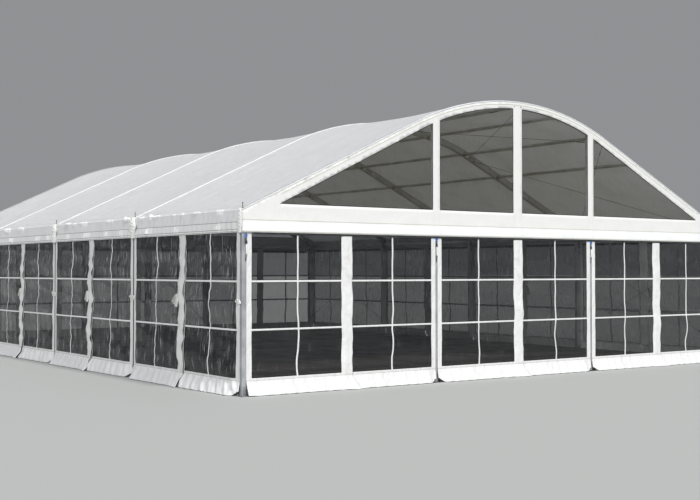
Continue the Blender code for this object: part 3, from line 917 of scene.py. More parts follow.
def eave_path(distance):
    """Position, height and outward direction of the cover's outer face, from the ridge to its hem.

    The cloth rolls over the eave and hangs down as the valance.
    """
    away = np.abs(np.asarray(distance, float))
    side = np.where(np.asarray(distance) < 0, -1.0, 1.0)
    x, z, tilt = roof_line(np.minimum(away, SLOPE_END))
    rolled = away > SLOPE_END
    turn = np.where(rolled, PITCH + np.clip(away - SLOPE_END, 0, ROLL_END - SLOPE_END) / ROLL, tilt)
    x = np.where(rolled, ROLL_X + ROLL * np.sin(turn), x)
    z = np.where(rolled, ROLL_Z + ROLL * np.cos(turn), z)
    z = z - np.maximum(away - ROLL_END, 0.0)
    return side * x, z, side * np.sin(turn), np.cos(turn)


def over_roof(distance, y, proud):
    """Points that stand proud of the roof line, for arrays of distances from the ridge and of y."""
    x, z, out_x, out_z = eave_path(distance)
    return np.stack([x + out_x * proud, y + 0 * x, z + out_z * proud], -1)


def eave_gathers(distance, y, near, far, seed):
    """Folds that the lacing draws in at the eaves, on both sides of the roof."""
    away = np.abs(distance)
    drop, up = np.maximum(away - ROLL_END, 0.0), SLOPE_END - away
    lift = 0.0
    for side in (-1, 1):
        chance = np.random.default_rng(40 + seed * 2 + side)
        facing = np.sign(distance) == side
        # Short gathers, one to three together, where the cloth is drawn over the eave
        lows, highs = (0.034, 0.045, 0.1, 0.085), (0.068, 0.110, 1.3, 0.130)
        for spot in chance.uniform(near + 0.1, far - 0.3, 8):
            tall, low, slant, gap = chance.uniform(lows, highs)
            for stroke in range(chance.integers(1, 4)):
                across = (y - spot - slant * (away - SLOPE_END) - stroke * gap) / 0.022
                fade = hump((up + 0.05) / low) * (0.45 + 0.55 * ease((0.025 - up) / 0.05))
                lift = lift + facing * 1.1 * tall * hump(across) * fade
        # Others stand in the lower band of the valance
        for spot in chance.uniform(near + 0.15, far - 0.35, 5):
            fade = ease((drop - 0.20) / 0.04) * ease((0.42 - drop) / 0.08)
            for stroke in range(chance.integers(2, 4)):
                across = (y - spot - 0.11 * stroke - 0.2 * drop) / 0.024
                lift = lift + facing * 0.044 * hump(across) * fade
        # Long faint creases run up the slope
        lows, highs = (-0.15, 0.005, 0.6, 0.7), (0.15, 0.011, 3.0, 1.8)
        for spot in chance.uniform(near + 0.4, far - 0.4, 5):
            slant, tall, low, half = chance.uniform(lows, highs)
            across = (y - spot - slant * up) / 0.065
            lift = lift + facing * tall * hump(across, (up - low) / half)
    return lift


def cover_lift(distance, y, near, far, seed):
    """How far the roof cover stands out from the roof line: its sag, folds and puckers."""
    away = np.abs(distance)
    drop, up = np.maximum(away - ROLL_END, 0.0), SLOPE_END - away
    share = np.clip((y - near) / (far - near), 0, 1)
    lift = -settings("cover").sag * np.sin(math.pi * share) * np.clip(up / 1.2, 0, 1)
    free = np.sin(math.pi * share) ** 0.5
    lift += 0.0035 * free * ease(up / 0.5) * ripple(y, distance * 0.08, seed, (0.42, 0.63, 0.9))
    # Folds fan out from the two eave corners of each bay
    for corner, turn in ((near, 1.0), (far, -1.0)):
        aside = (y - corner) * turn
        reach = np.hypot(aside, up)
        angle = np.arctan2(up, np.maximum(aside, 1e-4))
        fan = np.sin(angle * 17 + seed) * np.exp(-reach / 0.9)
        lift += 0.010 * fan * ease(aside / 0.12) * ease(up / 0.1)
    lift += eave_gathers(distance, y, near, far, seed)
    # A cord in a hem runs along the eave
    cord = 0.013 + 0.006 * ripple(y, 0 * y, seed + 3, (0.17, 0.29, 0.8))
    lift += cord * hump((up + 0.004) / 0.012)
    # The valance leans in under the eave, then out at its lower band
    lift += -0.018 * ease(drop / 0.20) + 0.024 * ease((drop - 0.20) / 0.20)
    # Slanted folds run down it beside the frames, and turn at the band
    hung = ease(drop / 0.06)
    near_frame = np.exp(-np.minimum(y - near, far - y) / 0.42)
    bent = y + np.where(drop < 0.21, -0.9, 0.5) * (drop - 0.21)
    diagonal = wave(bent, 0.21, seed * 1.7) ** 3
    held = ease((y - near) / 0.1) * ease((far - y) / 0.1)
    lift += hung * (0.004 + 0.017 * near_frame) * diagonal * held
    lift += 0.008 * hung * ripple(y, drop, seed + 9, (0.5, 0.8, 1.3)) * free
    return lift


def add_roof_covers():
    """One cover a bay from eave to eave, with its two valances."""
    # The rows are far apart on the slope and close together near the eave
    turned, last_span = SLOPE_END - 0.20, SLOPE_END - 1.2
    half = [*places(0, last_span, step=0.22), *places(last_span, turned + 0.02, step=0.10)[1:]]
    slopes = np.array([-value for value in reversed(half)] + half[1:])
    # The upper edge of the lower band, the thread of the hem and the hem itself are welded lines,
    # drawn darker partly as painted shade
    band_lines = (ROLL_END + 0.204, ROLL_END + 0.218)
    lines = (band_lines, (HEM - 0.066, HEM - 0.052), (HEM - 0.024, HEM - 0.012))
    edges = [*places(turned, SLOPE_END - 0.03, step=0.042)]
    edges += [*places(SLOPE_END - 0.03, ROLL_END, step=0.010)[1:]]
    breaks = [value for line in lines for value in line]
    edges += [*places(ROLL_END, *breaks, HEM, step=0.034)[1:]]
    edges = np.array(edges)
    # The finish of each row: slope, valance, lower band or eave roll, and weld. The lower band and
    # the eave roll are whiter as painted light, the welds darker partly as painted shade
    row = middles(edges)
    band = np.where(row > ROLL_END, 1, 0) + np.where(row > ROLL_END + 0.21, 1, 0)
    for low, high in lines:
        band = np.where((row > low) & (row < high), 3, band)
    band = np.where((row > SLOPE_END - 0.022) & (row < ROLL_END - 0.006), 2, band)
    for number, (start, end) in enumerate(zip(FRAMES, FRAMES[1:]), start=1):
        low, high = start + KEDER, end - KEDER
        near, far = start + FRAME_EDGE, end - FRAME_EDGE

        def sheet(rows, step, layers, proud):
            columns = places(low, near, far, high, step=step)
            distance, y = np.meshgrid(rows, columns, indexing="ij")
            away = np.abs(distance)
            # The lower band of the valance is a second layer, and so is the hem below it
            proud = proud + 0.005 * (away > band_lines[1]) + 0.004 * (away > HEM - 0.052)
            points = over_roof(distance, y, cover_lift(distance, y, near, far, number) + proud)
            flat = np.stack([y, distance], -1)
            layers = np.repeat(layers[:, None], len(columns) - 1, 1)
            mesh = grid_mesh("sheet", points[::-1], flat[::-1], layers=layers[::-1])
            mesh.flip_normals()
            return mesh

        mesh = joined_mesh(
            sheet(slopes, 0.070, np.zeros(len(slopes) - 1, int), 0.0),
            sheet(edges, 0.020, band, 0.0012),
            sheet(-edges[::-1], 0.020, band[::-1], 0.0012),
        )
        finishes = ["roof_fabric", "shaded_single_fabric", "painted_light_fabric", "weld"]
        cover = place_cloth(f"roof_cover_{number}", mesh, finishes, [f"roof_sheet_{number}"])


def add_seam_covers():
    """The strip over each rafter and the verge with its keder line beside each gable.

    The dark keder lines beside them are partly painted shadow.
    """
    sizes = settings("cover")
    half = sizes.seam_width / 2
    run = places(-SLOPE_END, SLOPE_END, step=0.11)
    # Across each strip: how far to the side and how high. One of its faces is the dark keder;
    # it and the first face are dark partly as painted shadow
    rise = [(share, sizes.seam_rise * (1 - abs(share) ** 2.4)) for share in np.linspace(-1, 1, 11)]
    dome = [(share * half, height + 0.003) for share, height in rise]
    seam = [(-half - 0.016, 0.0028), *dome, (half + 0.016, 0.0028)]
    verge = [
        (-0.106, 0.006), (-0.066, 0.007), (-0.060, 0.012), (-0.030, 0.016), (-0.002, 0.014),
        (0.003, 0.009), (0.012, 0.009), (0.0190, -0.004), (0.0180, -0.016),
    ]
    strips = [(f"seam_cover_{n}", FRAMES[n - 1], 1, seam, -1, 0.002) for n in (2, 3, 4)]
    strips += [(f"verge_{wall}", turn * HALF_LENGTH, turn, verge, 5, 0.0006)
               for wall, turn in (("front", -1), ("back", 1))]
    for seed, (name, y, turn, section, keder, rough) in enumerate(strips):
        offsets, heights = np.array(section).T
        row, side = np.meshgrid(run, offsets, indexing="ij")
        waves = rough * ripple(row, side, seed, (0.31, 0.47))
        tall = heights + waves * (heights > 0.008)
        dark = np.zeros((len(run) - 1, len(offsets) - 1), int)
        dark[:, 0] = dark[:, keder] = 1
        points = over_roof(row, y + turn * side, tall)
        mesh = grid_mesh("strip", points, np.stack([side, row], -1), layers=dark)
        # The faces look away from the roof whichever way the strip was laid
        if mesh.polygons[len(offsets) // 2].normal.z < 0:
            mesh.flip_normals()
        # The seam strips get the whiter finish as a painted highlight along each rafter
        cloth = "painted_light_fabric" if section is seam else "roof_fabric"
        strip = place_cloth(name, mesh, [cloth, "rubber"])


def add_sleeves():
    """The gathered sleeves that close the eave at each frame."""
    sizes = settings("cover")
    top, bottom = SLOPE_END - 0.10, HEM + 0.012
    rows = places(top, SLOPE_END, ROLL_END, bottom, step=0.016)
    row, part = np.meshgrid(rows, np.linspace(-1, 1, 33), indexing="ij")
    drop = row - ROLL_END
    waist = 0.55 + 0.45 * ease((drop + 0.1) / 0.22) - 0.22 * ease((drop - 0.26) / 0.12)
    bulge = np.clip(1 - np.abs(part) ** 2.0, 0, 1) ** 0.8
    for number, frame_y in enumerate(FRAMES, start=1):
        for side, side_name in SIDES:
            corner = number in (1, 5)
            shift = {1: -0.012, 5: 0.012}.get(number, 0.0)
            width = sizes.sleeve_width * (0.50 if corner else 1.0)
            reach = (0.040 if corner else sizes.sleeve_rise) * ease((row - top) / 0.14)
            puckers = wave(row / 0.074 + 0.8 * part, 1, number * 1.3 + side)
            puckers += 0.8 * wave(row / 0.117 - 1.1 * part, 1, number)
            height = 0.008 + reach * bulge * waist
            height = height + 0.0075 * puckers * bulge * ease((drop + 0.08) / 0.1)
            sway = 0.018 * wave(drop, 0.31, number) * (not corner)
            y = frame_y + shift + part * width / 2 * waist + sway
            points = over_roof(side * row, y, height)
            mesh = grid_mesh("sleeve", points, np.stack([part, row], -1))
            if side < 0:
                mesh.flip_normals()
            sleeve = place_cloth(f"eave_sleeve_{side_name}_{number}", mesh, ["gable_fabric"])


def gable_out(x, z, wall):
    """How far the gable cover's outer face stands out from the frame, at a place on the gable."""
    arch_depth = (roof_height(x) - z) * math.cos(PITCH)
    held = ease(arch_depth / 0.15) * ease((HALF_WIDTH - np.abs(x)) / 0.2)
    seed = 11 if wall == "front" else 23
    low = ease((3.9 - z) / 0.4)
    out = 0.0125 + 0.0022 * held * ripple(x, z, seed, (0.55, 0.8, 1.3))
    out = out + 0.006 * held * low * ripple(x, z * 1.4, seed + 1, (0.35, 0.5, 0.75))
    out = out + 0.004 * held * ease((3.5 - z) / 0.2) * wave(x + 0.6 * z, 0.33)
    # The lower band hangs free of the curtains, so it throws a thin shadow on them
    hung = ease((3.56 - z) / 0.28)
    return out + hung * (0.030 * ease((HALF_WIDTH + 0.02 - np.abs(x)) / 0.15) + 0.004)


def line_across(low, high, step, height):
    """Points along a gable at one height, or at the height that a function gives."""
    tall = height if callable(height) else lambda x: height
    return [(float(x), float(tall(x))) for x in places(low, high, step=step)]


def line_up(x, low, high, step):
    """Points up a gable at one place."""
    return [(float(x), float(z)) for z in places(low, high, step=step)]


def gable_regions():
    """Outline of the gable cover and of its four panes, as lists of (across, height)."""
    sizes = settings("cover")
    half = HALF_WIDTH + EAVE_OVERHANG - 0.0043
    top = line_across(-half, half, 0.10, lambda x: roof_height(x, RAFTER_TOP))
    outline = [
        *line_up(-half, BAND_BOTTOM, top[0][1], 0.06)[:-1],
        *top,
        *line_up(half, BAND_BOTTOM, top[-1][1], 0.06)[-2:0:-1],
        *line_across(-half, half, 0.06, BAND_BOTTOM)[:0:-1],
    ]
    depth = RAFTER_TOP + sizes.arch_border
    tip = HALF_WIDTH - (sizes.sill - EAVE_HEIGHT + depth / math.cos(PITCH)) / math.tan(PITCH)
    inner, outer = POSTS[1] - sizes.mullion / 2, POSTS[1] + sizes.mullion / 2
    panes = []
    for start, end in ((sizes.centre_mullion / 2, inner), (outer, tip)):
        # The border is a third narrower at the crown than at the eaves
        upper = line_across(
            start, end, 0.08, lambda x: roof_height(x, depth * (0.66 + 0.34 * x / tip))
        )
        if end == tip:
            upper = upper[:-1]
        pane = line_up(start, sizes.sill, upper[0][1], 0.08)[1:-1] + upper
        if end != tip:
            pane += line_up(end, sizes.sill, upper[-1][1], 0.08)[-2:0:-1]
        pane += line_across(start, end, 0.08, sizes.sill)[::-1]
        panes += [pane, [(-x, z) for x, z in reversed(pane)]]
    return outline, panes


def inside(points, outline, *holes):
    """Which points lie inside an outline and in none of its holes."""
    x, z = points[:, 0], points[:, 1]
    found = np.zeros(len(points), bool)
    for (x1, z1), (x2, z2) in zip(outline, outline[1:] + outline[:1]):
        crosses = (z1 > z) != (z2 > z)
        with np.errstate(divide="ignore", invalid="ignore"):
            meets = (x2 - x1) * (z - z1) / (z2 - z1) + x1
        found ^= crosses & (x < meets)
    for hole in holes:
        found &= ~inside(points, hole)
    return found


def filled_mesh(name, outlines, step, point, lines=()):
    """A sheet that fills the first outline and leaves the others open, with points step apart.

    No triangle crosses one of the lines. Returns the mesh and its triangles' flat corners.
    """
    rims, edges = [], []
    for closed, group in ((True, outlines), (False, lines)):
        for line in group:
            numbers = list(range(len(rims), len(rims) + len(line)))
            edges += zip(numbers, numbers[1:] + numbers[:1] if closed else numbers[1:])
            rims += line
    rims = np.array(rims)
    low, high = rims.min(0), rims.max(0)
    xs = np.arange(low[0] + step / 2, high[0], step)
    zs = np.arange(low[1] + step / 2, high[1], step)
    inner = np.stack(np.meshgrid(xs, zs), -1).reshape(-1, 2)
    inner[:, 0] += (np.round((inner[:, 1] - low[1]) / step) % 2) * step / 2
    inner = inner[inside(inner, *outlines)]
    # A loose point too near a rim would make slivers
    for start in range(0, len(inner), 2000):
        part = inner[start : start + 2000]
        gap = np.hypot(*(part[:, None] - rims[None]).transpose(2, 0, 1)).min(1)
        part[gap < step * 0.45] = np.nan
    inner = inner[~np.isnan(inner[:, 0])]
    flat = [Vector(value) for value in np.concatenate([rims, inner]).tolist()]
    verts, _, faces, *_ = delaunay_2d_cdt(flat, edges, [], 0, 1e-6)
    verts = np.array([tuple(vertex) for vertex in verts])
    faces = np.array([list(face) for face in faces])
    kept = inside(verts[faces].mean(1), *outlines)
    used, faces = np.unique(faces[kept], return_inverse=True)
    faces, verts = faces.reshape(-1, 3), verts[used]
    return cloth_mesh(name, point(verts[:, 0], verts[:, 1]), faces, verts), verts[faces]


def ribbon_mesh(name, lines, width, point, closed=False, number=0):
    """Flat strips of one width along lines of (across, height) points.

    number is that of their finish in the piece.
    """
    points, flat, faces, made = [], [], [], 0
    for line in lines:
        line = np.asarray(line, float)
        if closed:
            ahead = np.roll(line, -1, 0) - np.roll(line, 1, 0)
        else:
            ahead = np.gradient(line, axis=0)
        ahead /= np.linalg.norm(ahead, axis=1)[:, None]
        normal = np.stack([-ahead[:, 1], ahead[:, 0]], -1)
        for share, proud in ((-1, 0.0), (0, 1.0), (1, 0.0)):
            side = line + normal * share * width / 2
            points.append(point(side[:, 0], side[:, 1], proud))
            flat.append(side)
        here = np.arange(len(line) if closed else len(line) - 1)
        after = (here + 1) % len(line)
        for low in (made, made + len(line)):
            high = low + len(line)
            faces.append(np.stack([low + here, low + after, high + after, high + here], -1))
        made += 3 * len(line)
    faces = np.concatenate(faces)
    layers = np.full(len(faces), number)
    return cloth_mesh(name, np.concatenate(points), faces, np.concatenate(flat), layers)


def add_gable_cover(wall, outline, panes):
    """One white gable cover, open where its panes are, with its hems, welds and stitches."""

    def face(x, z, proud=0.0):
        return stand(wall, x, z, gable_out(x, z, wall) + proud)

    def seam(x, z, proud):
        return face(x, z, 0.0030 + 0.0025 * proud)

    half = HALF_WIDTH + 0.0155
    band = line_across(-half + 0.004, half - 0.004, 0.06, BAND_LINE)
    mesh, triangles = filled_mesh("gable_cover", [outline, *panes], 0.07, face, [band])
    # Below the welded line the band is two layers thick; its whiter finish there is partly
    # painted light
    doubled_lit_band = triangles[:, :, 1].mean(1) < BAND_LINE
    mesh.polygons.foreach_set("material_index", doubled_lit_band.astype(np.int32))
    first, second = (triangles[:, 1:] - triangles[:, :1]).transpose(1, 2, 0)
    area = float(np.abs(first[0] * second[1] - first[1] * second[0]).sum() / 2)
    area = max(area, LEAST_GABLE_SHARE * GABLE_FLAT[0] * GABLE_FLAT[1])
    finishes = ["gable_fabric", "painted_light_fabric"]
    cover = place_cloth(f"gable_fabric_{wall}", mesh, finishes, [f"gable_cover_{wall}"])
    hem = line_across(-half, half, 0.06, BAND_BOTTOM + 0.024)
    x, z, _ = roof_line(places(-ARCH_SEAM_END, ARCH_SEAM_END, step=0.10), ARCH_SEAM_DEPTH)
    welds = []
    for middle, aside in ((-POSTS[1], POST_SEAM), (0.0, CENTRE_SEAM), (POSTS[1], POST_SEAM)):
        for across in (middle - aside, middle + aside):
            top = float(roof_height(across, 0.05))
            welds.append(line_up(across, BAND_BOTTOM + 0.02, top, 0.08))
    mesh = joined_mesh(
        ribbon_mesh("seams", welds, 0.016, seam),
        ribbon_mesh("stitches", [hem, band, list(zip(x, z))], 0.014, seam, number=1),
    )
    finishes = ["gable_fabric", "stitching"]
    seams = place(f"gable_seams_{wall}", mesh, finishes)


def add_gables():
    """The white gable covers and the clear panes in them."""
    outline, panes = gable_regions()
    for wall in GABLES:
        add_gable_cover(wall, outline, panes)
        for number, pane in enumerate(panes, start=1):

            def film(x, z):
                waves = ripple(x, z, number * 3 + 1, (0.5, 0.8, 1.2))
                return stand(wall, x, z, 0.006 + 0.0009 * waves)

            # The dark rim round each pane, along its weld, is painted shade
            def weld(x, z, proud):
                return stand(wall, x, z, 0.0085 + 0.0008 * proud + 0 * x)

            made, _ = filled_mesh("gable_pane", [pane], 0.12, film)
            edge = ribbon_mesh("weld", [pane], 0.030, weld, closed=True)
            replaced = [f"clear_film_{wall}"] if number == 1 else ()
            name = f"{wall}_{number}"
            place(f"gable_pane_{name}", made, ["gable_film"], replaced)
            place(f"gable_pane_weld_and_shade_{name}", edge, ["film_weld_and_shade"])


# Curtains


def bay_edges(wall):
    """Left and right edges of each bay's curtains, with their numbers in the frame."""
    lap = 0.015
    sizes = settings("frame")
    half = sizes.upright_width / 2
    if wall in GABLES:
        # The outer curtains lap over the faces of the corner uprights
        corner = HALF_WIDTH - sizes.upright_depth + 0.055
        starts = [-corner, *(x + half for x in POSTS)]
        ends = [*(x - half for x in POSTS), corner]
    else:
        starts = [y + half for y in FRAMES[:-1]]
        ends = [y - half for y in FRAMES[1:]]
    numbers = list(range(1, len(starts) + 1))
    if wall in ("back", "left"):
        numbers.reverse()
    return [(start - lap, end + lap, number) for start, end, number in zip(starts, ends, numbers)]


def hang(wall, along, height, left, right, seed):
    """Where a curtain hangs: a shift along the wall, the height, and how far out it stands."""
    sizes = settings("curtain")
    turns = np.random.default_rng(seed).uniform(0, 2 * math.pi, 12)
    long_wall = wall in LONG_WALLS
    # The side curtains hang slacker, with more of every wave, and lean out more
    if long_wall:
        reach, fold, crinkle, belly = sizes.side_wave, 0.006, 0.007, 0.045
        sway, shiver, slanted = 0.012, 0.010, 0.55
    else:
        reach, fold, crinkle, belly = sizes.gable_wave, 0.0025, 0.0015, 0.012
        sway, shiver, slanted = 0.010, 0.002, 0.25
    share = (along - left) / (right - left)
    edge = np.minimum(along - left, right - along)
    held = ease(edge / 0.30)
    hung = ease((3.36 - height) / 0.7) * (0.35 + 0.65 * ease(height / 0.8))
    swing = wave(height, 1.25, turns[0] + 0.9 * np.sin(along * 1.2 + turns[1]))
    swing += 0.55 * wave(height, 0.66, turns[2] + 1.7 * along)
    folds = wave(along, 0.37, 1.6 * np.sin(height * 1.9 + turns[3]))
    # It has been rolled up, which left short crinkles across it
    crinkles = wave(height, 0.23, 2.6 * np.sin(along * 3.1 + turns[7]))
    crinkles = crinkles * wave(along + 0.3 * height, 0.53, turns[8])
    out = (reach * swing * hung + fold * folds * hung + crinkle * crinkles) * held
    out = out + belly * held * ease((3.2 - height) / 3.0)
    shift = sway * wave(height, 0.95, turns[4] + along * 1.4)
    shift = shift + shiver * wave(height, 0.29, turns[9] + along)
    shift = shift * held * hung * ease((2.9 - height) / 1.6)
    # Near the foot the cloth is slack, so its bars bend aside
    bent = hump((height - 0.55) / 0.24) - 0.6 * hump((height - 0.98) / 0.25)
    for turn, middle in ((turns[10], 0.25), (turns[11], 0.75)):
        shift = shift + 0.034 * np.sin(turn) * bent * hump((share - middle) / 0.12)
    # The skirt is turned out on the ground in slanted pleats, and drawn in beside the uprights
    below = np.clip((sizes.skirt - height) / sizes.skirt, 0, 1)

    def pull(reach):
        """How much an upright draws the skirt in. At the corners the gable skirts hang free."""
        free = [abs(end) > POSTS[1] * 2 and not long_wall for end in (left, right)]
        pulls = [0.12 if end_free else 1.0 for end_free in free]
        near, far = 1 - ease((along - left) / reach), 1 - ease((right - along) / reach)
        return np.maximum(pulls[0] * near, pulls[1] * far)

    drawn = 1 - pull(0.26)
    loose = 0.25 + 0.75 * drawn
    slant = along + slanted * (height - sizes.skirt)
    pleats = wave(slant, 0.29, 2.2 * np.sin(along * 2.1 + turns[5]) + turns[3])
    pleats += 0.6 * wave(slant, 0.142, 1.8 * np.sin(along * 3.7 + turns[2]) + turns[6])
    # In places the pleats die away and the skirt lies flat
    dying = np.sin(along * 4.3 + turns[4]) * np.sin(along * 1.7 + turns[1])
    pleats = pleats * (0.62 + 0.38 * dying)
    rough = 0.35 + 1.05 * ease((share - 0.35) / 0.3) if long_wall else 0.34
    flare = sizes.flare * (1.9 - 0.85 * share if long_wall else 1.0)
    gathers = wave(edge, 0.075, turns[6]) * ease(edge / 0.02)
    tucks = np.sin(math.pi * below**0.7) + 0.35 * below
    out = out + flare * below**1.15 * loose + 0.027 * tucks * pleats * rough * loose
    out = out + 0.020 * below * gathers * (1 - drawn)
    raised = 0.085 * pull(0.17) * below + 0.006 * below * (1 + pleats / 1.6) + 0.004 * below
    return shift, height + raised, out


def around(spans):
    """The edges of each span and of the welds inside and outside it."""
    return [edge + aside for span in spans for edge in span for aside in (-WELD, 0.0, WELD)]


def cells_within(spans_x, spans_z, middles_x, middles_z, grow=0.0):
    """Which cells of a grid lie in one of the spans both ways."""

    def within(spans, values):
        return np.any([(values > low - grow) & (values < high + grow) for low, high in spans], 0)

    return within(spans_z, middles_z)[:, None] & within(spans_x, middles_x)[None]


def half_curtain(wall, left, right, upper, number):
    """One of the two curtains of a bay, with its skirt. The left one laps over the right one."""
    sizes = settings("curtain")
    long_wall = wall in LONG_WALLS
    middle = (left + right) / 2
    half_strip = sizes.middle_strip / 2 * (1.2 if long_wall else 1.0)
    half_bar = sizes.bar / 2
    seed = {"front": 100, "right": 200, "back": 300, "left": 400}[wall] + number
    if upper:
        start, end = left, middle + half_strip
        window = (left + sizes.edge_strip, middle - half_strip)
    else:
        start, end = middle - half_strip, right
        window = (middle + half_strip, right - sizes.edge_strip)
    centre = (window[0] + window[1]) / 2
    panes_x = [(window[0], centre - half_bar), (centre + half_bar, window[1])]
    panes_z = [
        (sizes.window_bottom, sizes.low_bar - half_bar),
        (sizes.low_bar + half_bar, sizes.high_bar - half_bar),
        (sizes.high_bar + half_bar, sizes.window_top),
    ]
    strips = [*places(start, window[0] - WELD, step=0.046)]
    strips += [*places(window[1] + WELD, end, step=0.046)]
    columns = places(start, start + WELD, end - WELD, end, *strips, *around(panes_x), step=0.125)
    rows = places(sizes.skirt, CURTAIN_TOP, *around(panes_z), step=0.068)

    def hung_at(along, height, proud=0.0):
        shift, raised, out = hang(wall, along, height, left, right, seed)
        free = (along - middle) / half_strip if upper else (middle - along) / half_strip
        strip = ease((free + 1.0) / 0.5)
        if upper:
            # The upper curtain's strip stands off and ripples down its free edge
            ripples = 1.4 + wave(height, 0.41, 2.2 * free + seed)
            ripples += 0.5 * wave(height, 0.28, 3.1 * free + 2 * seed)
            rippled = 0.006 + (0.014 if long_wall else 0.005) * ripples
            out = out + strip * ease((3.2 - height) / 0.5) * rippled
            # Its skirt swings open at the free end
            below = np.clip((sizes.skirt - height) / sizes.skirt, 0, 1)
            swung = ease((along - end + 0.50) / 0.50) * below**1.4
            shift, out = shift + 0.12 * swung, out + 0.055 * swung
            out = out + 0.012 * strip * (height < CURTAIN_TOP)
        top = ease((CURTAIN_TOP - height) / 0.12)
        return stand(wall, along + shift, raised, STAND_OFF + (out + proud) * top)

    height, along = np.meshgrid(rows, columns, indexing="ij")
    points = hung_at(along, height)
    flat = np.stack([along - start, height], -1)
    # The skirt is a strip of its own, welded on. The lower curtain's is cut back along a curve
    # from the lap, and on the gables a dark slit opens there.
    low_rows = places(0.0, 0.012, sizes.skirt, sizes.skirt + 0.008, sizes.skirt + 0.018, step=0.042)
    share = np.linspace(0, 1, math.ceil((end - start) / 0.028))
    low_height, share = np.meshgrid(low_rows, share, indexing="ij")
    fallen = np.clip((sizes.skirt - low_height) / sizes.skirt, 0, 1)
    first = start + 0 * fallen
    if not upper:
        cut, slit = (0.05, 0.0) if long_wall else (0.13, 0.045)
        first = middle + half_strip - 0.02 + cut * fallen**1.4 + slit * fallen**0.6
    low_along = first + (end - first) * share
    low_flat = np.stack([low_along - start, low_height], -1)
    # The side skirts lie out flatter than the walls hang, and their whiter finish is painted light
    painted_light_finish = 2 if long_wall else 0
    welds = np.full((len(low_rows) - 1, share.shape[1] - 1), painted_light_finish)
    # The skirt's top row takes the weld finish, whose grey is partly painted shade
    welds[-2] = 1
    skirt = grid_mesh("skirt", hung_at(low_along, low_height, 0.002), low_flat, layers=welds)
    spots = (middles(columns), middles(rows))
    glazed = cells_within(panes_x, panes_z, *spots)
    under = cells_within(panes_x, panes_z, *spots, WELD)
    # The film's dark rim along the welds is painted shade
    rim = glazed & ~cells_within(panes_x, panes_z, *spots, -WELD)
    # The bars across the side windows are narrow, and their whiteness, as white as the skirts, is
    # painted light shining through them
    bars = cells_within([window], [(sizes.window_bottom, sizes.window_top)], *spots)
    fabric = grid_mesh("curtain", points, flat, ~glazed, layers=bars * painted_light_finish)
    film_points = points - (stand(wall, 0, 0, FILM_BEHIND) - stand(wall, 0, 0, 0.0))
    film = grid_mesh("window", film_points, flat, under, rim.astype(int))
    name = f"{wall}_{number}_{'left' if upper else 'right'}"
    clear = "window_film" if long_wall else "wiped_film"
    replaced = [f"clear_film_{wall}"] if long_wall else ()
    panes = place(f"window_film_{name}", film, [clear, "film_weld_and_shade"], replaced)
    fabrics = ["wall_fabric", "weld", "painted_light_fabric"] if long_wall else ["wall_fabric", "weld"]
    piece = place_cloth(
        f"curtain_fabric_{name}", joined_mesh(fabric, skirt), fabrics, [f"curtain_{wall}_{number}"]
    )


def add_curtains():
    """Two lapping curtains in each bay of all four walls."""
    for wall in WALLS:
        for left, right, number in bay_edges(wall):
            for upper in (True, False):
                half_curtain(wall, left, right, upper, number)


# Fittings


def wall_pose(wall, along, height, out, tilt=0.0):
    """The pose of a fitting on a wall: x along it, y into it and z up, tilted about y."""
    at = Matrix.Translation(Vector(stand(wall, along, height, out).tolist()))
    return at @ Matrix.Rotation(WALLS[wall][0], 4, "Z") @ Matrix.Rotation(tilt, 4, "Y")


def tape_loop(bm, pose, tall, reach):
    """A flat tape bent into a loop that hangs in the pose's xz plane from its origin."""
    sides, half_width, half_thick = 18, 0.015, 0.0009
    rings = []
    for number in range(sides + 1):
        turn = 2 * math.pi * number / sides
        ahead = Vector((reach * 0.5 * math.cos(turn), 0, -tall * 0.5 * math.sin(turn))).normalized()
        across = Vector((ahead.z, 0, -ahead.x)) * half_thick
        fall = -tall * 0.5 * (1 - math.cos(turn))
        middle = Vector((reach * 0.5 * math.sin(turn), 0.004 * math.sin(turn * 2), fall))
        ring = []
        for a, b in ((1, 1), (1, -1), (-1, -1), (-1, 1)):
            ring.append(pose @ (middle + across * a + Vector((0, b * half_width, 0))))
        rings.append(ring)
    loft(bm, rings)


def add_lashing(wall, along, name):
    """A lashing that pulls the gable curtains to a post: a loop, a buckle, a tail and a ring."""
    parts = {cloth: bmesh.new() for cloth in ("blue_strap", "strap", "tape", "dark_steel")}

    def pose(height, tilt=0.0):
        return wall_pose(wall, along, height, 0.021, tilt)

    # Each block hangs at a height: half its width and thickness, its bottom and top, and its tilt
    blocks = (
        ("strap", 3.160, 0.013, 0.002, -0.11, 0.0, 0.001, 0.04),
        ("dark_steel", 3.060, 0.021, 0.009, -0.035, 0.035, 0.004, 0.0),
        ("dark_steel", 3.085, 0.018, 0.014, -0.006, 0.006, 0.003, 0.0),
        ("tape", 3.030, 0.012, 0.0015, -0.20, 0.0, 0.001, -0.05),
    )
    tape_loop(parts["blue_strap"], pose(3.235, 0.15), 0.090, 0.045)
    for part, height, wide, thick, bottom, top, eased, tilt in blocks:
        block(parts[part], (-wide, -thick, bottom), (wide, thick, top), eased, pose(height, tilt))
    ring, radius = pose(2.800), 0.020
    turns = np.linspace(0, 2 * math.pi, 21)
    circle = [ring @ Vector((radius * math.cos(a), 0, radius * math.sin(a))) for a in turns]
    tube(parts["dark_steel"], circle, 0.0035, 8)
    block(parts["strap"], (-0.010, -0.0015, -0.10), (0.010, 0.0015, 0.0), 0.001, pose(2.785, 0.08))
    for cloth, bm in parts.items():
        place_solid(f"{name}_{cloth}", bm, cloth)


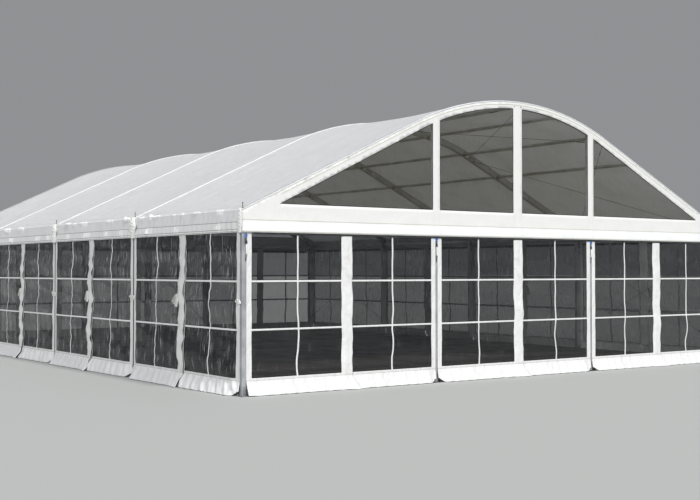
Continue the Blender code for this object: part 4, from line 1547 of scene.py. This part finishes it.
def add_gable_fittings(wall, eyelets):
    """The eyelets in a gable cover, the lashings below it and a dark strip under its hem.

    That strip is painted shadow, the shade that the hem throws.
    """
    out = stand(wall, 0, 0, 1.0) - stand(wall, 0, 0, 0.0)
    for x in (-0.11, 0.11):
        spot = stand(wall, x, float(roof_height(x)) - 0.115, float(gable_out(x, 6.3, wall)) + 0.001)
        tube(eyelets, [spot, spot + out * 0.003, spot + out * 0.004], [0.017, 0.015, 0.009], 18)
    corner = HALF_WIDTH - 0.085
    for number, along in enumerate((-corner, *POSTS, corner), start=1):
        add_lashing(wall, along, f"lashing_{wall}_{number}")
    # A dark strip under the gable cover's hem is painted shadow, the shade that the hem throws
    shadow_strip, reach = bmesh.new(), 7.24
    ends = [
        stand(wall, -reach, BAND_BOTTOM - 0.040, 0.016),
        stand(wall, reach, BAND_BOTTOM + 0.006, 0.030),
    ]
    block(shadow_strip, np.minimum(*ends), np.maximum(*ends), 0.004)
    place_solid(f"hem_shadow_strip_{wall}", shadow_strip, "rubber")


def add_tapes(wall):
    """The tapes that tie the curtains of a long wall."""
    tapes = bmesh.new()
    for left, right, number in bay_edges(wall):
        chance = np.random.default_rng(700 + number + 10 * (wall == "right"))
        middle = (left + right) / 2
        # Four loops at the middle strip, and a knot beside each upright
        spots = [(middle - 0.165, 1.985, tilt, 0.28) for tilt in (0.75, 0.45, 0.15, -0.15)]
        for along in (left + 0.018, right - 0.018):
            spots += [(along, 1.90, tilt, 0.10) for tilt in (1.5, 0.3, -0.9)]
        for along, height, tilt, tall in spots:
            _, _, out = hang(wall, np.array(along), np.array(height), left, right, 400 + number)
            tilt = tilt + chance.uniform(-0.2, 0.2)
            tape_loop(tapes, wall_pose(wall, along, height, 0.034 + float(out), tilt), tall, 0.060)
    place_solid(f"curtain_tapes_{wall}", tapes, "tape")


def add_fittings():
    """The pins at the eaves, the lashings at the gables and the tapes that tie the curtains."""
    pins, eyelets, strips = bmesh.new(), bmesh.new(), bmesh.new()
    # An eave pin's shape up from the cover: a foot, a thin neck, a collar, a neck and a knob
    shape = (
        (0.0, 0.020), (0.010, 0.020), (0.012, 0.010), (0.024, 0.010), (0.026, 0.006),
        (0.072, 0.006), (0.074, 0.010), (0.082, 0.010), (0.084, 0.006), (0.098, 0.006),
        (0.104, 0.012), (0.114, 0.012), (0.121, 0.004),
    )
    levels, radii = zip(*shape)
    for side in (-1, 1):
        for number, y in enumerate(FRAMES, start=1):
            x, z, *_ = (float(value) for value in eave_path(side * (SLOPE_END - 0.035)))
            y = y + {1: -0.020, 5: 0.020}.get(number, 0.0)
            tube(pins, [(x, y, z + 0.020 + level) for level in levels], radii, 14)
    for wall in GABLES:
        add_gable_fittings(wall, eyelets)
    # A dark strip in the rubber finish runs down the middle of each side upright's outer face
    for side in (-1, 1):
        for y in FRAMES[1:-1]:
            near, far = sorted((side * (HALF_WIDTH - 0.001), side * (HALF_WIDTH + 0.003)))
            block(strips, (near, y - 0.013, 0.16), (far, y + 0.013, 3.42), 0.001)
    place_solid("upright_dark_strips", strips, "rubber")
    place_solid("eave_pins", pins, "dark_steel")
    place_solid("gable_eyelets", eyelets, "dark_steel")
    for wall in LONG_WALLS:
        add_tapes(wall)


# Floor


def add_floor():
    """The cassette floor: dark boards 2.5 m long, parted by light strips.

    The strips' lightness is painted highlight, as of light glancing off the boards' edges.
    """
    low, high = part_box("floor")
    across, along = np.linspace(low.x, high.x, 10), np.linspace(low.y, high.y, 9)
    boards, rails = bmesh.new(), bmesh.new()
    joint, half_rail = 0.013, 0.0125
    for left, right in zip(across, across[1:]):
        for near, far in zip(along, along[1:]):
            corner = (left + joint, near + joint, 0.094)
            block(boards, corner, (right - joint, far - joint, high.z), EASED)
    inset = 0.01
    corner = (low.x + inset, low.y + inset, 0.0)
    block(rails, corner, (high.x - inset, high.y - inset, 0.096), 0.002)
    for x in across[1:-1]:
        corner = (x + half_rail, high.y - 0.001, 0.1192)
        block(rails, (x - half_rail, low.y + 0.001, 0.09), corner)
    for y in along[1:-1]:
        corner = (high.x - 0.001, y + half_rail, 0.1190)
        block(rails, (low.x + 0.001, y - half_rail, 0.09), corner)
    place_solid("floor_boards", boards, "boards", ["floor"])
    place_solid("floor_edges", rails, "board_edge_highlights")


# Stage


def add_stage():
    """A plain pale floor, a soft key light, a plain pale surround and the camera."""
    scene = bpy.context.scene
    mesh = bpy.data.meshes.new("ground")
    reach, level = 400.0, -0.001
    corners = ((-reach, -reach), (reach, -reach), (reach, reach), (-reach, reach))
    mesh.from_pydata([(x, y, level) for x, y in corners], [], [(0, 1, 2, 3)])
    ground = bpy.data.objects.new("ground", mesh)
    scene.collection.objects.link(ground)
    material, _ = new_finish("plain_pale_floor", {"Roughness": 0.9, "Base Color": linear("bdbebc")})
    mesh.materials.append(material)
    world = bpy.data.worlds.new("plain_surround")
    scene.world = world
    world.use_nodes = True
    background = world.node_tree.nodes["Background"]
    background.inputs["Color"].default_value = linear("e9ecf0")
    background.inputs["Strength"].default_value = 0.34
    scene.view_settings.view_transform = "Standard"
    lamps = (
        ("key_light", 2.4, 7, (0.07, -0.66, 0.75)),
        ("fill_light", 1.25, 25, (-0.76, -0.56, 0.45)),
    )
    for name, strength, angle, toward in lamps:
        light = bpy.data.lights.new(name, "SUN")
        light.energy = strength
        light.angle = math.radians(angle)
        lamp = bpy.data.objects.new(name, light)
        lamp.rotation_euler = Vector(toward).to_track_quat("Z", "Y").to_euler()
        scene.collection.objects.link(lamp)
    camera = bpy.data.cameras.new("camera")
    camera.lens = 58.18
    camera.sensor_width = 36.0
    camera.clip_end = 2000.0
    viewer = bpy.data.objects.new("camera", camera)
    viewer.location = (-18.77, -29.55, 2.50)
    viewer.rotation_euler = (math.pi / 2 + 0.018, 0.0, -0.6191)
    scene.collection.objects.link(viewer)
    scene.camera = viewer


# Add-on


class MARQUEE_OT_stage(bpy.types.Operator):
    """Set up the floor, the light and the camera"""

    bl_idname = "marquee.stage"
    bl_label = "Stage"

    def execute(self, context):
        add_stage()
        return {"FINISHED"}


class MARQUEE_OT_portals(bpy.types.Operator):
    """Build the arched aluminium frames with their joints and feet"""

    bl_idname = "marquee.portals"
    bl_label = "Arched Frames"

    def execute(self, context):
        add_portals()
        return {"FINISHED"}


class MARQUEE_OT_gable_posts(bpy.types.Operator):
    """Build the gable posts and beams"""

    bl_idname = "marquee.gable_posts"
    bl_label = "Gable Posts"

    def execute(self, context):
        add_gable_posts()
        return {"FINISHED"}


class MARQUEE_OT_purlins(bpy.types.Operator):
    """Build the roof purlins and eave rails"""

    bl_idname = "marquee.purlins"
    bl_label = "Purlins"

    def execute(self, context):
        add_purlins()
        return {"FINISHED"}


class MARQUEE_OT_bracing(bpy.types.Operator):
    """Build the crossed bracing wires"""

    bl_idname = "marquee.bracing"
    bl_label = "Bracing Wires"

    def execute(self, context):
        add_bracing()
        return {"FINISHED"}


class MARQUEE_OT_roof_covers(bpy.types.Operator):
    """Build the roof covers with their valances, seam covers and sleeves"""

    bl_idname = "marquee.roof_covers"
    bl_label = "Roof Covers"

    def execute(self, context):
        add_roof_covers()
        add_seam_covers()
        add_sleeves()
        return {"FINISHED"}


class MARQUEE_OT_gables(bpy.types.Operator):
    """Build the gable covers and their clear panes"""

    bl_idname = "marquee.gables"
    bl_label = "Gable Covers"

    def execute(self, context):
        add_gables()
        return {"FINISHED"}


class MARQUEE_OT_curtains(bpy.types.Operator):
    """Build the wall curtains with their windows"""

    bl_idname = "marquee.curtains"
    bl_label = "Curtains"

    def execute(self, context):
        add_curtains()
        return {"FINISHED"}


class MARQUEE_OT_fittings(bpy.types.Operator):
    """Build the pins, lashings, eyelets and tapes"""

    bl_idname = "marquee.fittings"
    bl_label = "Fittings"

    def execute(self, context):
        add_fittings()
        return {"FINISHED"}


class MARQUEE_OT_floor(bpy.types.Operator):
    """Build the boarded floor"""

    bl_idname = "marquee.floor"
    bl_label = "Floor"

    def execute(self, context):
        add_floor()
        return {"FINISHED"}


OPERATORS = (
    MARQUEE_OT_stage,
    MARQUEE_OT_portals,
    MARQUEE_OT_gable_posts,
    MARQUEE_OT_purlins,
    MARQUEE_OT_bracing,
    MARQUEE_OT_roof_covers,
    MARQUEE_OT_gables,
    MARQUEE_OT_curtains,
    MARQUEE_OT_fittings,
    MARQUEE_OT_floor,
)
GROUPS = {
    "marquee_frame": MarqueeFrameSizes,
    "marquee_cover": MarqueeCoverSizes,
    "marquee_curtain": MarqueeCurtainSizes,
    "marquee_colours": MarqueeColours,
}


class MARQUEE_PT_panel(bpy.types.Panel):
    """Lists the sizes and the pieces of the marquee"""

    bl_label = "Frame Marquee"
    bl_idname = "MARQUEE_PT_panel"
    bl_space_type = "VIEW_3D"
    bl_region_type = "UI"
    bl_category = "Marquee"

    def draw(self, context):
        for group in GROUPS:
            group_settings = getattr(context.scene, group)
            box = self.layout.box()
            for name in group_settings.__annotations__:
                box.prop(group_settings, name)
        for operator in OPERATORS:
            self.layout.operator(operator.bl_idname)


def register():
    for group in GROUPS.values():
        bpy.utils.register_class(group)
    for name, group in GROUPS.items():
        setattr(bpy.types.Scene, name, PointerProperty(type=group))
    for operator in OPERATORS:
        bpy.utils.register_class(operator)
    bpy.utils.register_class(MARQUEE_PT_panel)


def unregister():
    bpy.utils.unregister_class(MARQUEE_PT_panel)
    for operator in reversed(OPERATORS):
        bpy.utils.unregister_class(operator)
    for name, group in GROUPS.items():
        delattr(bpy.types.Scene, name)
        bpy.utils.unregister_class(group)


def main():
    """Builds every group of pieces through its operator."""
    register()
    for operator in OPERATORS:
        group, name = operator.bl_idname.split(".")
        getattr(getattr(bpy.ops, group), name)()


if __name__ == "__main__":
    main()
